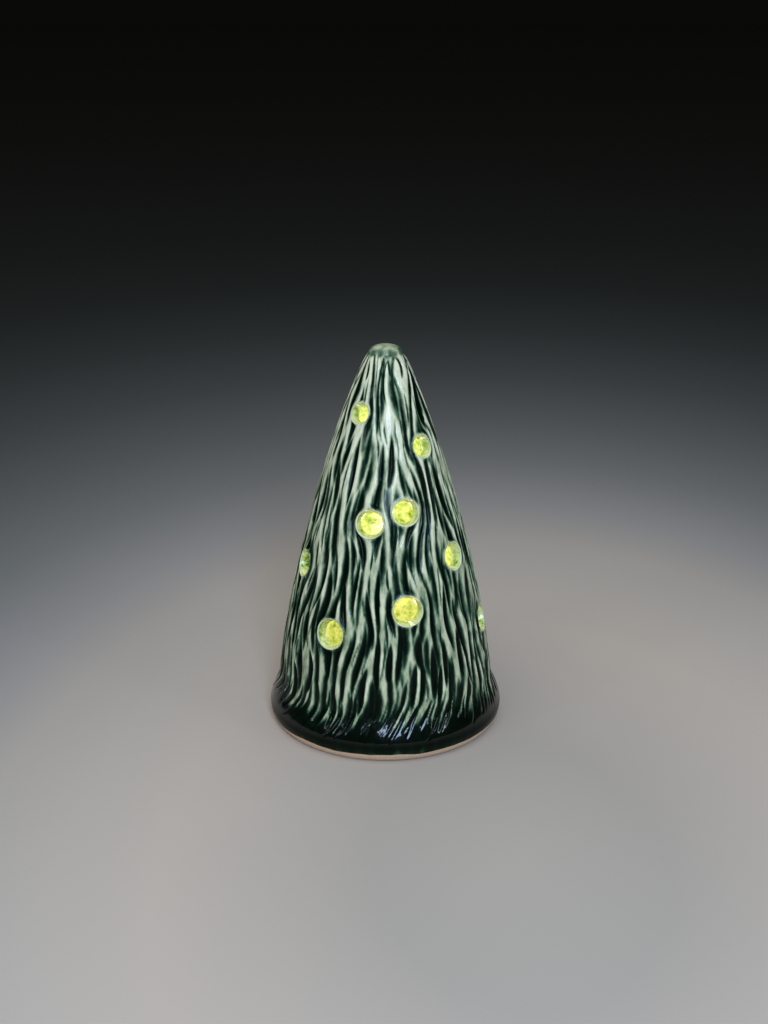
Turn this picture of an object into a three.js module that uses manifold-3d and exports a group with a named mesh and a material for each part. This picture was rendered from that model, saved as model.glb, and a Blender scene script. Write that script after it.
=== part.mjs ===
// Christmas tree luminary: a carved and glazed ceramic cone, pierced with round light holes,
// that stands over a battery tea light. Millimetres, +Z up, the front of the tree faces -Y.
// The origin is on the table, under the middle of the tree.

import * as THREE from "three";
import { ConvexGeometry } from "three/addons/geometries/ConvexGeometry.js";
import { mergeVertices } from "three/addons/utils/BufferGeometryUtils.js";
import Module from "manifold-3d";

const wasm = await Module();
wasm.setup();

// General clearances
const SEAT_GAP = 0.3; // between pieces that rest on each other
const OVERCUT = 1; // how far a cutter runs past the face it opens

// Tree: outline of the clay shell
const TREE_HEIGHT = 168;
const FOOT_RADIUS = 47; // bare clay ring on the table
const FOOT_WIDTH = 5;
const RIM_RADIUS = 51.5; // widest part of the rolled skirt
const RIM_HEIGHT = 7;
const WAIST_RADIUS = 47; // where the skirt runs into the cone
const WAIST_HEIGHT = 22;
const CROWN_RADIUS = 7.2; // smooth cap at the tip
const CROWN_RISE = 3.5;
const CONE_SWELL = 1.3; // the two exponents that give the cone its full belly
const CONE_TAPER = 0.85;
const WALL = 5; // measured level, through the side
const TIP_THICKNESS = 11; // clay left solid under the crown

// Tree: carving. The gouges go round the tree in courses, one pull of the loop tool each. rise is
// the share of the tree's height that a course is centred on. The other sizes are the distance from
// one gouge to the next, half of their length, half of their width, and their depth.
const GOUGE_COURSES = [
  { rise: 0.869, pitch: 3.9, reach: 18, width: 1.9, depth: 1 },
  { rise: 0.75, pitch: 4, reach: 15, width: 1.9, depth: 1.2 },
  { rise: 0.631, pitch: 4, reach: 15, width: 2, depth: 1.35 },
  { rise: 0.512, pitch: 4.1, reach: 15, width: 2.05, depth: 1.45 },
  { rise: 0.393, pitch: 4.2, reach: 15, width: 2.1, depth: 1.55 },
  { rise: 0.274, pitch: 4.2, reach: 15, width: 2.1, depth: 1.55 },
  { rise: 0.167, pitch: 4.2, reach: 14, width: 2, depth: 1.4 },
];
const HAND_SEED = 20; // picks the small differences between one gouge and the next
const SHALLOWEST = 1; // fainter gouges than this are filled level by the glaze
const SMOOTH_SKIRT = 10; // height of the uncarved band above the table
const SWEEP_HEIGHT = 27; // below this the gouges sweep to one side
const SWEEP = 0.028;
const SWAY = 1.1; // how far the gouges stray to either side
const SWAY_LENGTH = 71;
const PARTING = 0.35; // how far the gouges part round a light hole
const HOLE_COLLAR = 0.8; // smooth ring left round each light hole
const GOUGE_FULLNESS = 1.35; // how much a gouge is cut fuller in the middle of its length
const GOUGE_RUNOUT = 0.25; // share of its length that a gouge fades out over, past each end
const GOUGE_LIFT = 0.5; // how far outside the surface a gouge's edge starts, so it leaves no flake

// Tree: light holes, made with a tapered hole cutter. turn is in degrees from the front, towards
// +X, and rise is the share of the tree's height that the hole's middle stands at.
const HOLE_TAPER = 0.18; // share of the mouth's radius lost by the inner face
const LIGHT_HOLES = [
  { turn: -39, rise: 0.845, size: 8.5 },
  { turn: 44.5, rise: 0.765, size: 9.4 },
  { turn: 16.5, rise: 0.618, size: 10.8 },
  { turn: -12, rise: 0.592, size: 11.4 },
  { turn: 54, rise: 0.488, size: 11.4 },
  { turn: -70, rise: 0.452, size: 11.2 },
  { turn: 13.5, rise: 0.382, size: 12.4 },
  { turn: -33.5, rise: 0.312, size: 12.4 },
  { turn: 78, rise: 0.292, size: 12 },
  { turn: 128, rise: 0.827, size: 8.6 },
  { turn: 177, rise: 0.726, size: 9.4 },
  { turn: -112, rise: 0.702, size: 10 },
  { turn: 102, rise: 0.643, size: 10.8 },
  { turn: -150, rise: 0.548, size: 11.4 },
  { turn: 138, rise: 0.500, size: 11.6 },
  { turn: 114, rise: 0.345, size: 12.2 },
  { turn: -172, rise: 0.310, size: 12.4 },
  { turn: -114, rise: 0.274, size: 12.4 },
];

// Tea light: moulded cup
const CUP_RADIUS = 18.8;
const CUP_HEIGHT = 17;
const CUP_WALL = 1.2;
const CUP_RIM_WIDTH = 2; // flat ring round the top
const CUP_EDGE = 1; // rounding of the top edge
const DISH_DEPTH = 3.5; // the top sinks towards the flame, as melted wax does
const DISH_THICKNESS = 1.2;
const FLAME_HOLE_RADIUS = 5.2;
const FLAME_LIP = 0.4;

// Tea light: flame lens and its light-emitting diode
const FLAME_HEIGHT = 36.5; // above the table
const FLAME_SHOULDER = 19; // height at which the flame starts to narrow
const FLAME_FLANGE_WIDTH = 1.7;
const FLAME_FLANGE_THICKNESS = 1;
const FLAME_WALL = 1.6;
const LED_RADIUS = 2.5;
const LED_FLANGE_WIDTH = 0.4;
const LED_FLANGE_THICKNESS = 1;
const LED_BODY = 6; // straight part below the dome
const LEAD_PITCH = 2.54;
const LEAD_WIDTH = 0.5;
const LEAD_HOLE_RADIUS = 0.6;

// Tea light: chassis with the cell well, the door ring and the switch guides
const TABLE_GAP = 0.8; // the chassis hangs clear of the table
const CHASSIS_FLOOR = 1.6;
const WELL_X = -3.5; // the well sits to one side, to leave room for the switch
const WELL_WALL = 1.2;
const WELL_CEILING = 1.2;
const CELL_RADIUS = 10; // a 20 x 3.2 coin cell
const CELL_THICKNESS = 3.2;
const CELL_SLACK = 0.35;
const SPRING_ROOM = 1.6; // above the cell, for the contact leaf

// Tea light: contacts bent from strip
const CONTACT_THICKNESS = 0.3;
const CONTACT_FLOOR = 5.3; // height at which the positive strip and the switch nose start
const CONTACT_HEIGHT = 1.6;
const CONTACT_POST_WIDTH = 2;
const STRIP_ARM_Y = -7.5;
const WINDOW_WIDTH = 1.5;
const LEAF_WIDTH = 3;

// Tea light: bayonet door under the cell
const DOOR_RADIUS = 11;
const DOOR_THICKNESS = 2.5;
const DOOR_SLACK = 0.3;
const LEDGE = 1.2; // thickness of the ring that the lugs turn above
const LUG_REACH = 1.2;
const LUG_HEIGHT = 1;
const LUG_ANGLES = [90, 270]; // degrees
const LUG_HALF_ANGLE = 9;
const WAY_IN_EXTRA_ANGLE = 2;
const DOOR_TURN = 40; // degrees from locked to free
const STOP_HALF_ANGLE = 2;
const COIN_SLOT_LENGTH = 14;
const COIN_SLOT_WIDTH = 1.6;
const COIN_SLOT_DEPTH = 1;
const TRACK_WALL = 1;

// Tea light: slide switch
const SWITCH_X = 13.2;
const SWITCH_WIDTH = 4;
const SWITCH_LENGTH = 6;
const SWITCH_HEIGHT = 2.3;
const SWITCH_TRAVEL = 3;
const KNOB_WIDTH = 2;
const KNOB_LENGTH = 2.4;
const KNOB_RIDGES = 3;
const RIDGE_CUT = 0.3;
const NOSE_LENGTH = 2;
const RAIL_WIDTH = 0.6;
const RAIL_HEIGHT = 2;

// Tea light: screws that hold the chassis in the cup
const SCREW_X = 6.5;
const SCREW_Y = 13;
const SCREW_BOSS_RADIUS = 2.7; // on the chassis
const SCREW_BOSS_RISE = 1;
const SCREW_POST_RADIUS = 2.2; // hanging from the top of the cup
const SCREW_RADIUS = 0.85;
const SCREW_LENGTH = 7;
const SCREW_HEAD_RADIUS = 1.7;
const SCREW_HEAD_HEIGHT = 0.9;
const SCREW_CROSS = 0.5;

// Roundness of the faceted solids
const TREE_SIDES = 40;
const CAVITY_SIDES = 36;
const HOLE_SIDES = 14;
const CUP_SIDES = 40;
const FLAME_SIDES = 20;
const SMALL_SIDES = 12;

// Sizes worked out from the ones above
const CONE_TOP = TREE_HEIGHT - CROWN_RISE;
const CUP_INSIDE = CUP_RADIUS - CUP_WALL;
const CUP_SHOULDER = CUP_HEIGHT - CUP_EDGE - DISH_THICKNESS; // underside of the dish at the wall
const DISH_FLOOR = CUP_HEIGHT - DISH_DEPTH;
const DISH_UNDERSIDE = DISH_FLOOR - DISH_THICKNESS;
const CHASSIS_RADIUS = CUP_INSIDE - SEAT_GAP;
const CHASSIS_TOP = TABLE_GAP + CHASSIS_FLOOR;
const SCREW_BOSS_TOP = CHASSIS_TOP + SCREW_BOSS_RISE;
const DOOR_BORE = DOOR_RADIUS + DOOR_SLACK;
const DOOR_TOP = TABLE_GAP + DOOR_THICKNESS;
const TRACK_FLOOR = TABLE_GAP + LEDGE;
const TRACK_TOP = DOOR_TOP + SEAT_GAP;
const TRACK_RADIUS = DOOR_RADIUS + LUG_REACH + DOOR_SLACK;
const TRACK_HOUSING = TRACK_RADIUS + TRACK_WALL;
const CELL_FLOOR = DOOR_TOP + SEAT_GAP;
const CELL_TOP = CELL_FLOOR + CELL_THICKNESS;
const WELL_RADIUS = CELL_RADIUS + CELL_SLACK;
const WELL_TOP = CELL_TOP + SPRING_ROOM;
const CEILING_TOP = WELL_TOP + WELL_CEILING;
const LEAF_TOP = CELL_TOP + SEAT_GAP + CONTACT_THICKNESS;
const LEAD_FLOOR = CEILING_TOP + SEAT_GAP;
const LEAD_TOP = LEAD_FLOOR + LEAD_WIDTH;
const LED_FLOOR = LEAD_TOP + SEAT_GAP;
const LED_TOP = LED_FLOOR + LED_FLANGE_THICKNESS + LED_BODY + LED_RADIUS;
const CONTACT_TOP = CONTACT_FLOOR + CONTACT_HEIGHT;
const ANODE_X = WELL_X + WELL_RADIUS + WELL_WALL + SEAT_GAP + LEAD_WIDTH / 2;
const STRIP_X = ANODE_X + LEAD_WIDTH / 2 + SEAT_GAP;

const radians = THREE.MathUtils.degToRad;
const smooth = THREE.MathUtils.smoothstep;

// Turns a closed three.js geometry into a solid that can be cut and joined.
function solidOf(geometry) {
  const bare = geometry.clone();
  bare.deleteAttribute("normal");
  bare.deleteAttribute("uv");
  const merged = mergeVertices(bare, 1e-4);
  const corners = merged.index.array;
  const faces = [];
  for (let i = 0; i < corners.length; i += 3) {
    const [a, b, c] = corners.slice(i, i + 3);
    if (a !== b && b !== c && c !== a) faces.push(a, b, c);
  }
  const vertProperties = new Float32Array(merged.attributes.position.array);
  const triVerts = new Uint32Array(faces);
  return new wasm.Manifold(new wasm.Mesh({ numProp: 3, vertProperties, triVerts }));
}

// Turns a solid back into a three.js geometry.
function geometryOf(solid) {
  const { vertProperties, triVerts } = solid.getMesh();
  const geometry = new THREE.BufferGeometry();
  geometry.setAttribute("position", new THREE.BufferAttribute(vertProperties, 3));
  geometry.setIndex(new THREE.BufferAttribute(triVerts, 1));
  geometry.computeVertexNormals();
  return geometry;
}

// A solid turned about +Z from a closed outline of [radius, height] points, outer side going up.
function turned(outline, sides) {
  const points = outline.map(([radius, height]) => new THREE.Vector2(radius, height));
  const first = points[0];
  const last = points[points.length - 1];
  if (first.x > 0 || last.x > 0) points.push(first.clone());
  return solidOf(new THREE.LatheGeometry(points, sides).rotateX(Math.PI / 2));
}

// An upright cylinder from one height to another.
function post(radius, low, high, sides, x = 0, y = 0) {
  const geometry = new THREE.CylinderGeometry(radius, radius, high - low, sides);
  geometry.rotateX(Math.PI / 2).translate(x, y, (low + high) / 2);
  return solidOf(geometry);
}

// A box between two corners.
function block(low, high) {
  const size = high.map((value, axis) => value - low[axis]);
  const middle = high.map((value, axis) => (value + low[axis]) / 2);
  return solidOf(new THREE.BoxGeometry(...size).translate(...middle));
}

// A sector of a ring, centred on an angle in degrees.
function sector(inner, outer, low, high, angle, halfAngle) {
  const shape = new THREE.Shape();
  const start = radians(angle - halfAngle);
  const end = radians(angle + halfAngle);
  shape.absarc(0, 0, outer, start, end, false);
  shape.absarc(0, 0, inner, end, start, true);
  const settings = { depth: high - low, bevelEnabled: false, curveSegments: 4 };
  return solidOf(new THREE.ExtrudeGeometry(shape, settings).translate(0, 0, low));
}

function joined(...solids) {
  return solids.reduce((whole, next) => whole.add(next));
}

function cut(whole, ...cutters) {
  return cutters.reduce((left, cutter) => left.subtract(cutter), whole);
}

// Radius of the uncarved tree at a height.
function outlineRadius(height) {
  if (height <= RIM_HEIGHT) {
    const below = (RIM_HEIGHT - height) / RIM_HEIGHT;
    const roll = Math.sqrt(Math.max(0, 1 - below * below));
    return FOOT_RADIUS + (RIM_RADIUS - FOOT_RADIUS) * roll;
  }
  if (height <= WAIST_HEIGHT) {
    const flare = 1 - smooth(height, RIM_HEIGHT, WAIST_HEIGHT);
    return WAIST_RADIUS + (RIM_RADIUS - WAIST_RADIUS) * flare;
  }
  if (height <= CONE_TOP) {
    const climb = (height - WAIST_HEIGHT) / (CONE_TOP - WAIST_HEIGHT);
    const share = Math.pow(1 - Math.pow(climb, CONE_SWELL), CONE_TAPER);
    return CROWN_RADIUS + (WAIST_RADIUS - CROWN_RADIUS) * share;
  }
  const rise = Math.min(1, (height - CONE_TOP) / CROWN_RISE);
  return CROWN_RADIUS * Math.sqrt(1 - rise * rise);
}

// How far the side leans in at a height, as an angle above level of its outward normal.
function leanAngle(height) {
  const step = 1;
  return Math.atan2(outlineRadius(height - step) - outlineRadius(height + step), 2 * step);
}

// The outside of the clay cone before it is carved.
function plainCone() {
  const rimRows = 4;
  const skirtRows = 3;
  const coneRows = 4;
  const crownRows = 3;
  const outline = [[0, 0]];
  for (let i = 0; i < rimRows; i++) {
    const height = RIM_HEIGHT * (1 - Math.cos((i / rimRows) * (Math.PI / 2)));
    outline.push([outlineRadius(height), height]);
  }
  for (let i = 0; i < skirtRows; i++) {
    const height = RIM_HEIGHT + (i / skirtRows) * (WAIST_HEIGHT - RIM_HEIGHT);
    outline.push([outlineRadius(height), height]);
  }
  for (let i = 0; i < coneRows; i++) {
    const height = WAIST_HEIGHT + (i / coneRows) * (CONE_TOP - WAIST_HEIGHT);
    outline.push([outlineRadius(height), height]);
  }
  for (let i = 0; i < crownRows; i++) {
    const height = CONE_TOP + CROWN_RISE * Math.sin((i / crownRows) * (Math.PI / 2));
    outline.push([outlineRadius(height), height]);
  }
  outline.push([0, TREE_HEIGHT]);
  return turned(outline, TREE_SIDES);
}

// Even numbers between two limits, the same ones each time for a seed.
function steadyHand(seed) {
  let state = seed;
  return (low, high) => {
    state = (state * 48271) % 2147483647;
    return low + ((high - low) * state) / 2147483647;
  };
}

// How far the gouges stray sideways at a place, in millimetres: a slow sway, a sweep over the
// skirt, and a bend past each light hole.
function straying(turn, height) {
  const wave = (2 * Math.PI * height) / SWAY_LENGTH;
  const sway = SWAY * (Math.sin(wave + 3 * turn) + 0.45 * Math.sin(1.9 * wave - 5 * turn + 1.3));
  const sweep = SWEEP * Math.max(0, SWEEP_HEIGHT - height) ** 2;
  const bends = LIGHT_HOLES.map((hole) => {
    const around = turn - radians(hole.turn);
    const across = Math.atan2(Math.sin(around), Math.cos(around)) * outlineRadius(height);
    const middle = hole.rise * TREE_HEIGHT;
    const along = (height - middle) / Math.cos(leanAngle(middle));
    const reach = hole.size / 2 + HOLE_COLLAR;
    const distance = Math.max(Math.hypot(across, along), reach);
    const fade = 1 - smooth(distance, 1.3 * reach, 3 * reach);
    return PARTING * across * (reach / distance) ** 2 * fade;
  });
  return sway + sweep - bends.reduce((sum, next) => sum + next, 0);
}

// A place on the tree, as far inside its uncarved surface as depth says and as far to the right as
// aside says. turn is the angle before the gouges stray.
function carvedPlace(turn, height, aside, depth) {
  const radius = outlineRadius(height);
  let strayed = turn;
  for (let i = 0; i < 4; i++) strayed = turn + (aside - straying(strayed, height)) / radius;
  const lean = leanAngle(height);
  const level = radius - depth * Math.cos(lean);
  return [level * Math.sin(strayed), -level * Math.cos(strayed), height - depth * Math.sin(lean)];
}

// One gouge: a trough with a pointed end above and below, cut from outside the surface.
function gouge({ turn, low, high, width, depth, slant, bend }) {
  const middle = (high + low) / 2;
  const runout = GOUGE_RUNOUT * (high - low);
  const bottom = Math.max(low - runout, RIM_HEIGHT);
  const top = Math.min(high + runout, CONE_TOP);
  const place = (height, aside, deep) => {
    const share = (2 * (height - middle)) / (high - low);
    const stray = slant * (height - middle) + bend * (share * share - 0.3);
    return new THREE.Vector3(...carvedPlace(turn, height, stray + aside, deep));
  };
  const corners = [
    place(bottom, 0, -GOUGE_LIFT),
    place(middle, -GOUGE_FULLNESS * width, -GOUGE_LIFT),
    place(middle, 0, GOUGE_FULLNESS * depth),
    place(middle, GOUGE_FULLNESS * width, -GOUGE_LIFT),
    place(middle, 0, -OVERCUT - GOUGE_LIFT),
    place(top, 0, -GOUGE_LIFT),
  ];
  return solidOf(new ConvexGeometry(corners));
}

// The gouges of all courses, joined, with the collars of the light holes left out.
function gouges() {
  const hand = steadyHand(HAND_SEED);
  const cutters = [];
  GOUGE_COURSES.forEach(({ rise, pitch, reach, width, depth }, course) => {
    const middle = rise * TREE_HEIGHT;
    const count = Math.round((2 * Math.PI * outlineRadius(middle)) / pitch);
    for (let i = 0; i < count; i++) {
      const turn = (2 * Math.PI * (i + 0.618 * course + hand(-0.3, 0.3))) / count;
      const height = middle + hand(-9, 9);
      const half = reach * hand(0.65, 1.3);
      const low = Math.max(height - half, SMOOTH_SKIRT + hand(-1.5, 4.5));
      const high = Math.min(height + half, CONE_TOP - 0.9 + hand(-2.5, 0.2));
      const stroke = {
        turn,
        low,
        high,
        width: width * hand(0.7, 1.25),
        depth: depth * hand(0.6, 1.2),
        slant: hand(-0.12, 0.12),
        bend: hand(-1.2, 1.2),
      };
      if (high - low > reach / 2 && stroke.depth > SHALLOWEST) cutters.push(gouge(stroke));
    }
  });
  const collars = LIGHT_HOLES.map((hole) => holeTool(hole, 0, HOLE_COLLAR));
  return cut(joined(...cutters), ...collars);
}

// The hollow of the tree, open at the foot.
function treeHollow() {
  const footInside = FOOT_RADIUS - FOOT_WIDTH;
  const waistInside = WAIST_RADIUS - WALL;
  const top = TREE_HEIGHT - TIP_THICKNESS;
  const rows = 10;
  const outline = [[0, -OVERCUT], [footInside, -OVERCUT], [footInside, 0]];
  for (let i = 1; i < 3; i++) {
    const share = i / 3;
    const radius = footInside + (waistInside - footInside) * smooth(share, 0, 1);
    outline.push([radius, share * WAIST_HEIGHT]);
  }
  for (let i = 0; i < rows; i++) {
    const height = WAIST_HEIGHT + (i / rows) * (top - WAIST_HEIGHT);
    outline.push([outlineRadius(height) - WALL, height]);
  }
  outline.push([0, top]);
  return turned(outline, CAVITY_SIDES);
}

// A round tool square to the side of the tree, as wide as a light hole and twice the margin.
function holeTool({ turn, rise, size }, taper, margin) {
  const height = rise * TREE_HEIGHT;
  const lean = leanAngle(height);
  const depth = WALL * Math.cos(lean);
  const slope = (taper * size) / (2 * depth);
  const outside = 3 * OVERCUT;
  const inside = depth + 3 * OVERCUT;
  const mouth = size / 2 + margin + slope * outside;
  const tip = size / 2 + margin - slope * inside;
  const tool = new THREE.CylinderGeometry(mouth, tip, outside + inside, HOLE_SIDES);
  tool.translate(0, (outside - inside) / 2, 0);
  tool.rotateX(Math.PI - lean);
  tool.translate(0, -outlineRadius(height), height);
  tool.rotateZ(radians(turn));
  return solidOf(tool);
}

function treeShell() {
  const holes = LIGHT_HOLES.map((hole) => holeTool(hole, HOLE_TAPER, 0));
  return cut(plainCone(), gouges(), treeHollow(), ...holes);
}

// The tea light's cup: a thin wall, a dished top, and two posts for the chassis screws.
function tealightCup() {
  const dishEdge = CUP_RADIUS - CUP_RIM_WIDTH;
  const outline = [
    [CUP_RADIUS, 0],
    [CUP_RADIUS, CUP_HEIGHT - CUP_EDGE],
    [CUP_RADIUS - 0.3 * CUP_EDGE, CUP_HEIGHT - 0.3 * CUP_EDGE],
    [CUP_RADIUS - CUP_EDGE, CUP_HEIGHT],
    [dishEdge, CUP_HEIGHT],
    [dishEdge - CUP_EDGE, CUP_HEIGHT - CUP_EDGE],
    [(dishEdge + FLAME_HOLE_RADIUS) / 2, DISH_FLOOR + 0.4 * (DISH_DEPTH - CUP_EDGE)],
    [FLAME_HOLE_RADIUS + 2 * FLAME_LIP, DISH_FLOOR],
    [FLAME_HOLE_RADIUS, DISH_FLOOR + FLAME_LIP],
    [FLAME_HOLE_RADIUS, DISH_UNDERSIDE],
    [FLAME_HOLE_RADIUS + FLAME_FLANGE_WIDTH, DISH_UNDERSIDE],
    [CUP_INSIDE, CUP_SHOULDER],
    [CUP_INSIDE, 0],
  ];
  const low = SCREW_BOSS_TOP + SEAT_GAP;
  const pilot = SCREW_RADIUS + SEAT_GAP;
  const posts = [-SCREW_Y, SCREW_Y].map((y) => {
    const whole = post(SCREW_POST_RADIUS, low, CUP_SHOULDER, SMALL_SIDES, SCREW_X, y);
    return cut(whole, post(pilot, low - OVERCUT, low + SCREW_LENGTH, SMALL_SIDES, SCREW_X, y));
  });
  return joined(turned(outline, CUP_SIDES), ...posts);
}

// The flame-shaped lens: a flange under the cup's top, a sleeve and a pointed, hollow flame.
function flameLens() {
  const sleeve = FLAME_HOLE_RADIUS - SEAT_GAP;
  const flange = sleeve + FLAME_FLANGE_WIDTH;
  const top = DISH_UNDERSIDE - SEAT_GAP;
  const low = top - FLAME_FLANGE_THICKNESS;
  const skin = [[0, low], [flange, low], [flange, top], [sleeve, top]];
  const steps = 8;
  for (let i = 0; i < steps; i++) {
    const climb = i / steps;
    const height = FLAME_SHOULDER + climb * (FLAME_HEIGHT - FLAME_SHOULDER);
    skin.push([sleeve * Math.pow(1 - climb * climb, 1.15), height]);
  }
  skin.push([0, FLAME_HEIGHT]);
  const bore = sleeve - FLAME_WALL;
  const core = [
    [0, low - OVERCUT],
    [bore, low - OVERCUT],
    [bore, LED_TOP],
    [0.7 * bore, LED_TOP + 0.7 * bore],
    [0, LED_TOP + bore],
  ];
  return cut(turned(skin, FLAME_SIDES), turned(core, FLAME_SIDES));
}

// The diode's dome on its flange.
function ledBulb() {
  const flange = LED_RADIUS + LED_FLANGE_WIDTH;
  const outline = [
    [0, 0],
    [flange, 0],
    [flange, LED_FLANGE_THICKNESS],
    [LED_RADIUS, LED_FLANGE_THICKNESS],
  ];
  const steps = 5;
  for (let i = 0; i < steps; i++) {
    const angle = (i / steps) * (Math.PI / 2);
    const height = LED_FLANGE_THICKNESS + LED_BODY + LED_RADIUS * Math.sin(angle);
    outline.push([LED_RADIUS * Math.cos(angle), height]);
  }
  outline.push([0, LED_FLANGE_THICKNESS + LED_BODY + LED_RADIUS]);
  return turned(outline, SMALL_SIDES);
}

// The cathode lead runs straight down through the well's ceiling to the contact leaf.
function cathodeLead() {
  const half = LEAD_WIDTH / 2;
  return block([-half, -half, LEAF_TOP + SEAT_GAP], [half, half, LEAD_TOP]);
}

// The anode lead is bent over the well and down beside the contact strip.
function anodeLead() {
  const half = LEAD_WIDTH / 2;
  const across = block([LEAD_PITCH / 2 - half, -half, LEAD_FLOOR], [ANODE_X + half, half, LEAD_TOP]);
  const down = block([ANODE_X - half, -half, CONTACT_FLOOR], [ANODE_X + half, half, LEAD_TOP]);
  return joined(across, down);
}

// The strip that the switch presses on the anode lead. Its arm reaches the side of the cell.
function positiveContact() {
  const armInner = STRIP_ARM_Y + CONTACT_THICKNESS;
  const cellEdge = WELL_X + Math.sqrt(CELL_RADIUS ** 2 - armInner ** 2);
  const outer = STRIP_X + CONTACT_THICKNESS;
  const strip = block([STRIP_X, STRIP_ARM_Y, CONTACT_FLOOR], [outer, NOSE_LENGTH / 2, CONTACT_TOP]);
  const arm = block([cellEdge + SEAT_GAP, STRIP_ARM_Y, CONTACT_FLOOR], [outer, armInner, CONTACT_TOP]);
  return joined(strip, arm);
}

// A leaf on top of the cell, with a tab turned up at its end.
function negativeContact() {
  const half = LEAF_WIDTH / 2;
  const low = CELL_TOP + SEAT_GAP;
  const end = -CELL_RADIUS + OVERCUT;
  const leaf = block([end, -half, low], [-WELL_X, half, LEAF_TOP]);
  const tab = block([end, -half, low], [end + CONTACT_THICKNESS, half, WELL_TOP - SEAT_GAP]);
  return joined(leaf, tab);
}

function coinCell() {
  const edge = 0.3;
  const canTop = CELL_THICKNESS - edge;
  const capRadius = 0.75 * CELL_RADIUS;
  const outline = [
    [0, 0],
    [CELL_RADIUS - edge, 0],
    [CELL_RADIUS, edge],
    [CELL_RADIUS, canTop - edge],
    [CELL_RADIUS - edge, canTop],
    [capRadius, canTop],
    [capRadius - edge, CELL_THICKNESS],
    [0, CELL_THICKNESS],
  ];
  return turned(outline, CUP_SIDES);
}

// The round door, with a coin slot below and two lugs that turn above the ledge.
function batteryDoor() {
  const disc = post(DOOR_RADIUS, TABLE_GAP, DOOR_TOP, CUP_SIDES);
  const reach = DOOR_RADIUS + LUG_REACH;
  const lugs = LUG_ANGLES.map((angle) => {
    return sector(DOOR_RADIUS - OVERCUT, reach, DOOR_TOP - LUG_HEIGHT, DOOR_TOP, angle, LUG_HALF_ANGLE);
  });
  const halfLength = COIN_SLOT_LENGTH / 2;
  const halfWidth = COIN_SLOT_WIDTH / 2;
  const slotTop = TABLE_GAP + COIN_SLOT_DEPTH;
  const slot = block([-halfLength, -halfWidth, TABLE_GAP - OVERCUT], [halfLength, halfWidth, slotTop]);
  return cut(joined(disc, ...lugs), slot);
}

// The well for the cell and, under it, the ring that the door locks in.
function wellHousing() {
  return joined(
    post(TRACK_HOUSING, TABLE_GAP, TRACK_TOP + TRACK_WALL, CUP_SIDES),
    post(WELL_RADIUS + WELL_WALL, TABLE_GAP, CEILING_TOP, CUP_SIDES),
  );
}

// The hollows of the well: the door's bore, its lug track with stops and ways in, and the openings
// for the cathode lead and for the arm of the contact strip.
function wellHollows() {
  const wayHalf = LUG_HALF_ANGLE + WAY_IN_EXTRA_ANGLE;
  const waysIn = LUG_ANGLES.map((angle) => {
    return sector(DOOR_RADIUS, TRACK_RADIUS, 0, TRACK_TOP, angle + DOOR_TURN, wayHalf);
  });
  const stops = LUG_ANGLES.flatMap((angle) => {
    const before = angle - wayHalf - STOP_HALF_ANGLE;
    const beyond = angle + DOOR_TURN + wayHalf + STOP_HALF_ANGLE;
    return [before, beyond].map((middle) => {
      return sector(DOOR_BORE, TRACK_HOUSING, 0, TRACK_TOP + OVERCUT, middle, STOP_HALF_ANGLE);
    });
  });
  const cathode = -LEAD_PITCH / 2 - WELL_X;
  const windowY = STRIP_ARM_Y + CONTACT_THICKNESS / 2;
  return [
    post(DOOR_BORE, TABLE_GAP - OVERCUT, TRACK_TOP, CUP_SIDES),
    cut(post(TRACK_RADIUS, TRACK_FLOOR, TRACK_TOP, CUP_SIDES), ...stops),
    post(WELL_RADIUS, TABLE_GAP, WELL_TOP, CUP_SIDES),
    post(LEAD_HOLE_RADIUS, WELL_TOP - OVERCUT, CEILING_TOP + OVERCUT, SMALL_SIDES / 2, cathode),
    block(
      [0, windowY - WINDOW_WIDTH / 2, CONTACT_FLOOR - SEAT_GAP],
      [WELL_RADIUS + WELL_WALL, windowY + WINDOW_WIDTH / 2, CONTACT_TOP + SEAT_GAP],
    ),
    ...waysIn,
  ];
}

// Two rails that keep the switch on its line.
function switchRails() {
  const gap = SWITCH_WIDTH / 2 + SEAT_GAP;
  const low = -SWITCH_TRAVEL - SWITCH_LENGTH / 2;
  const high = SWITCH_LENGTH / 2;
  const top = CHASSIS_TOP + RAIL_HEIGHT;
  const inner = SWITCH_X - gap;
  const outer = SWITCH_X + gap;
  return joined(
    block([inner - RAIL_WIDTH, low, TABLE_GAP], [inner, high, top]),
    block([outer, low, TABLE_GAP], [outer + RAIL_WIDTH, high, top]),
  );
}

// A slotted post that holds the bend of the contact strip.
function contactPost() {
  const x = STRIP_X + CONTACT_THICKNESS / 2;
  const y = STRIP_ARM_Y + CONTACT_THICKNESS / 2;
  const half = CONTACT_POST_WIDTH / 2;
  const slot = CONTACT_THICKNESS / 2 + SEAT_GAP;
  const low = CONTACT_FLOOR - SEAT_GAP;
  const high = CONTACT_TOP + OVERCUT;
  const whole = block([x - half, y - half, TABLE_GAP], [x + half, y + half, CONTACT_TOP]);
  const forArm = block([x - half - OVERCUT, y - slot, low], [x + slot, y + slot, high]);
  const forStrip = block([x - slot, y - slot, low], [x + slot, y + half + OVERCUT, high]);
  return cut(whole, forArm, forStrip);
}

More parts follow.
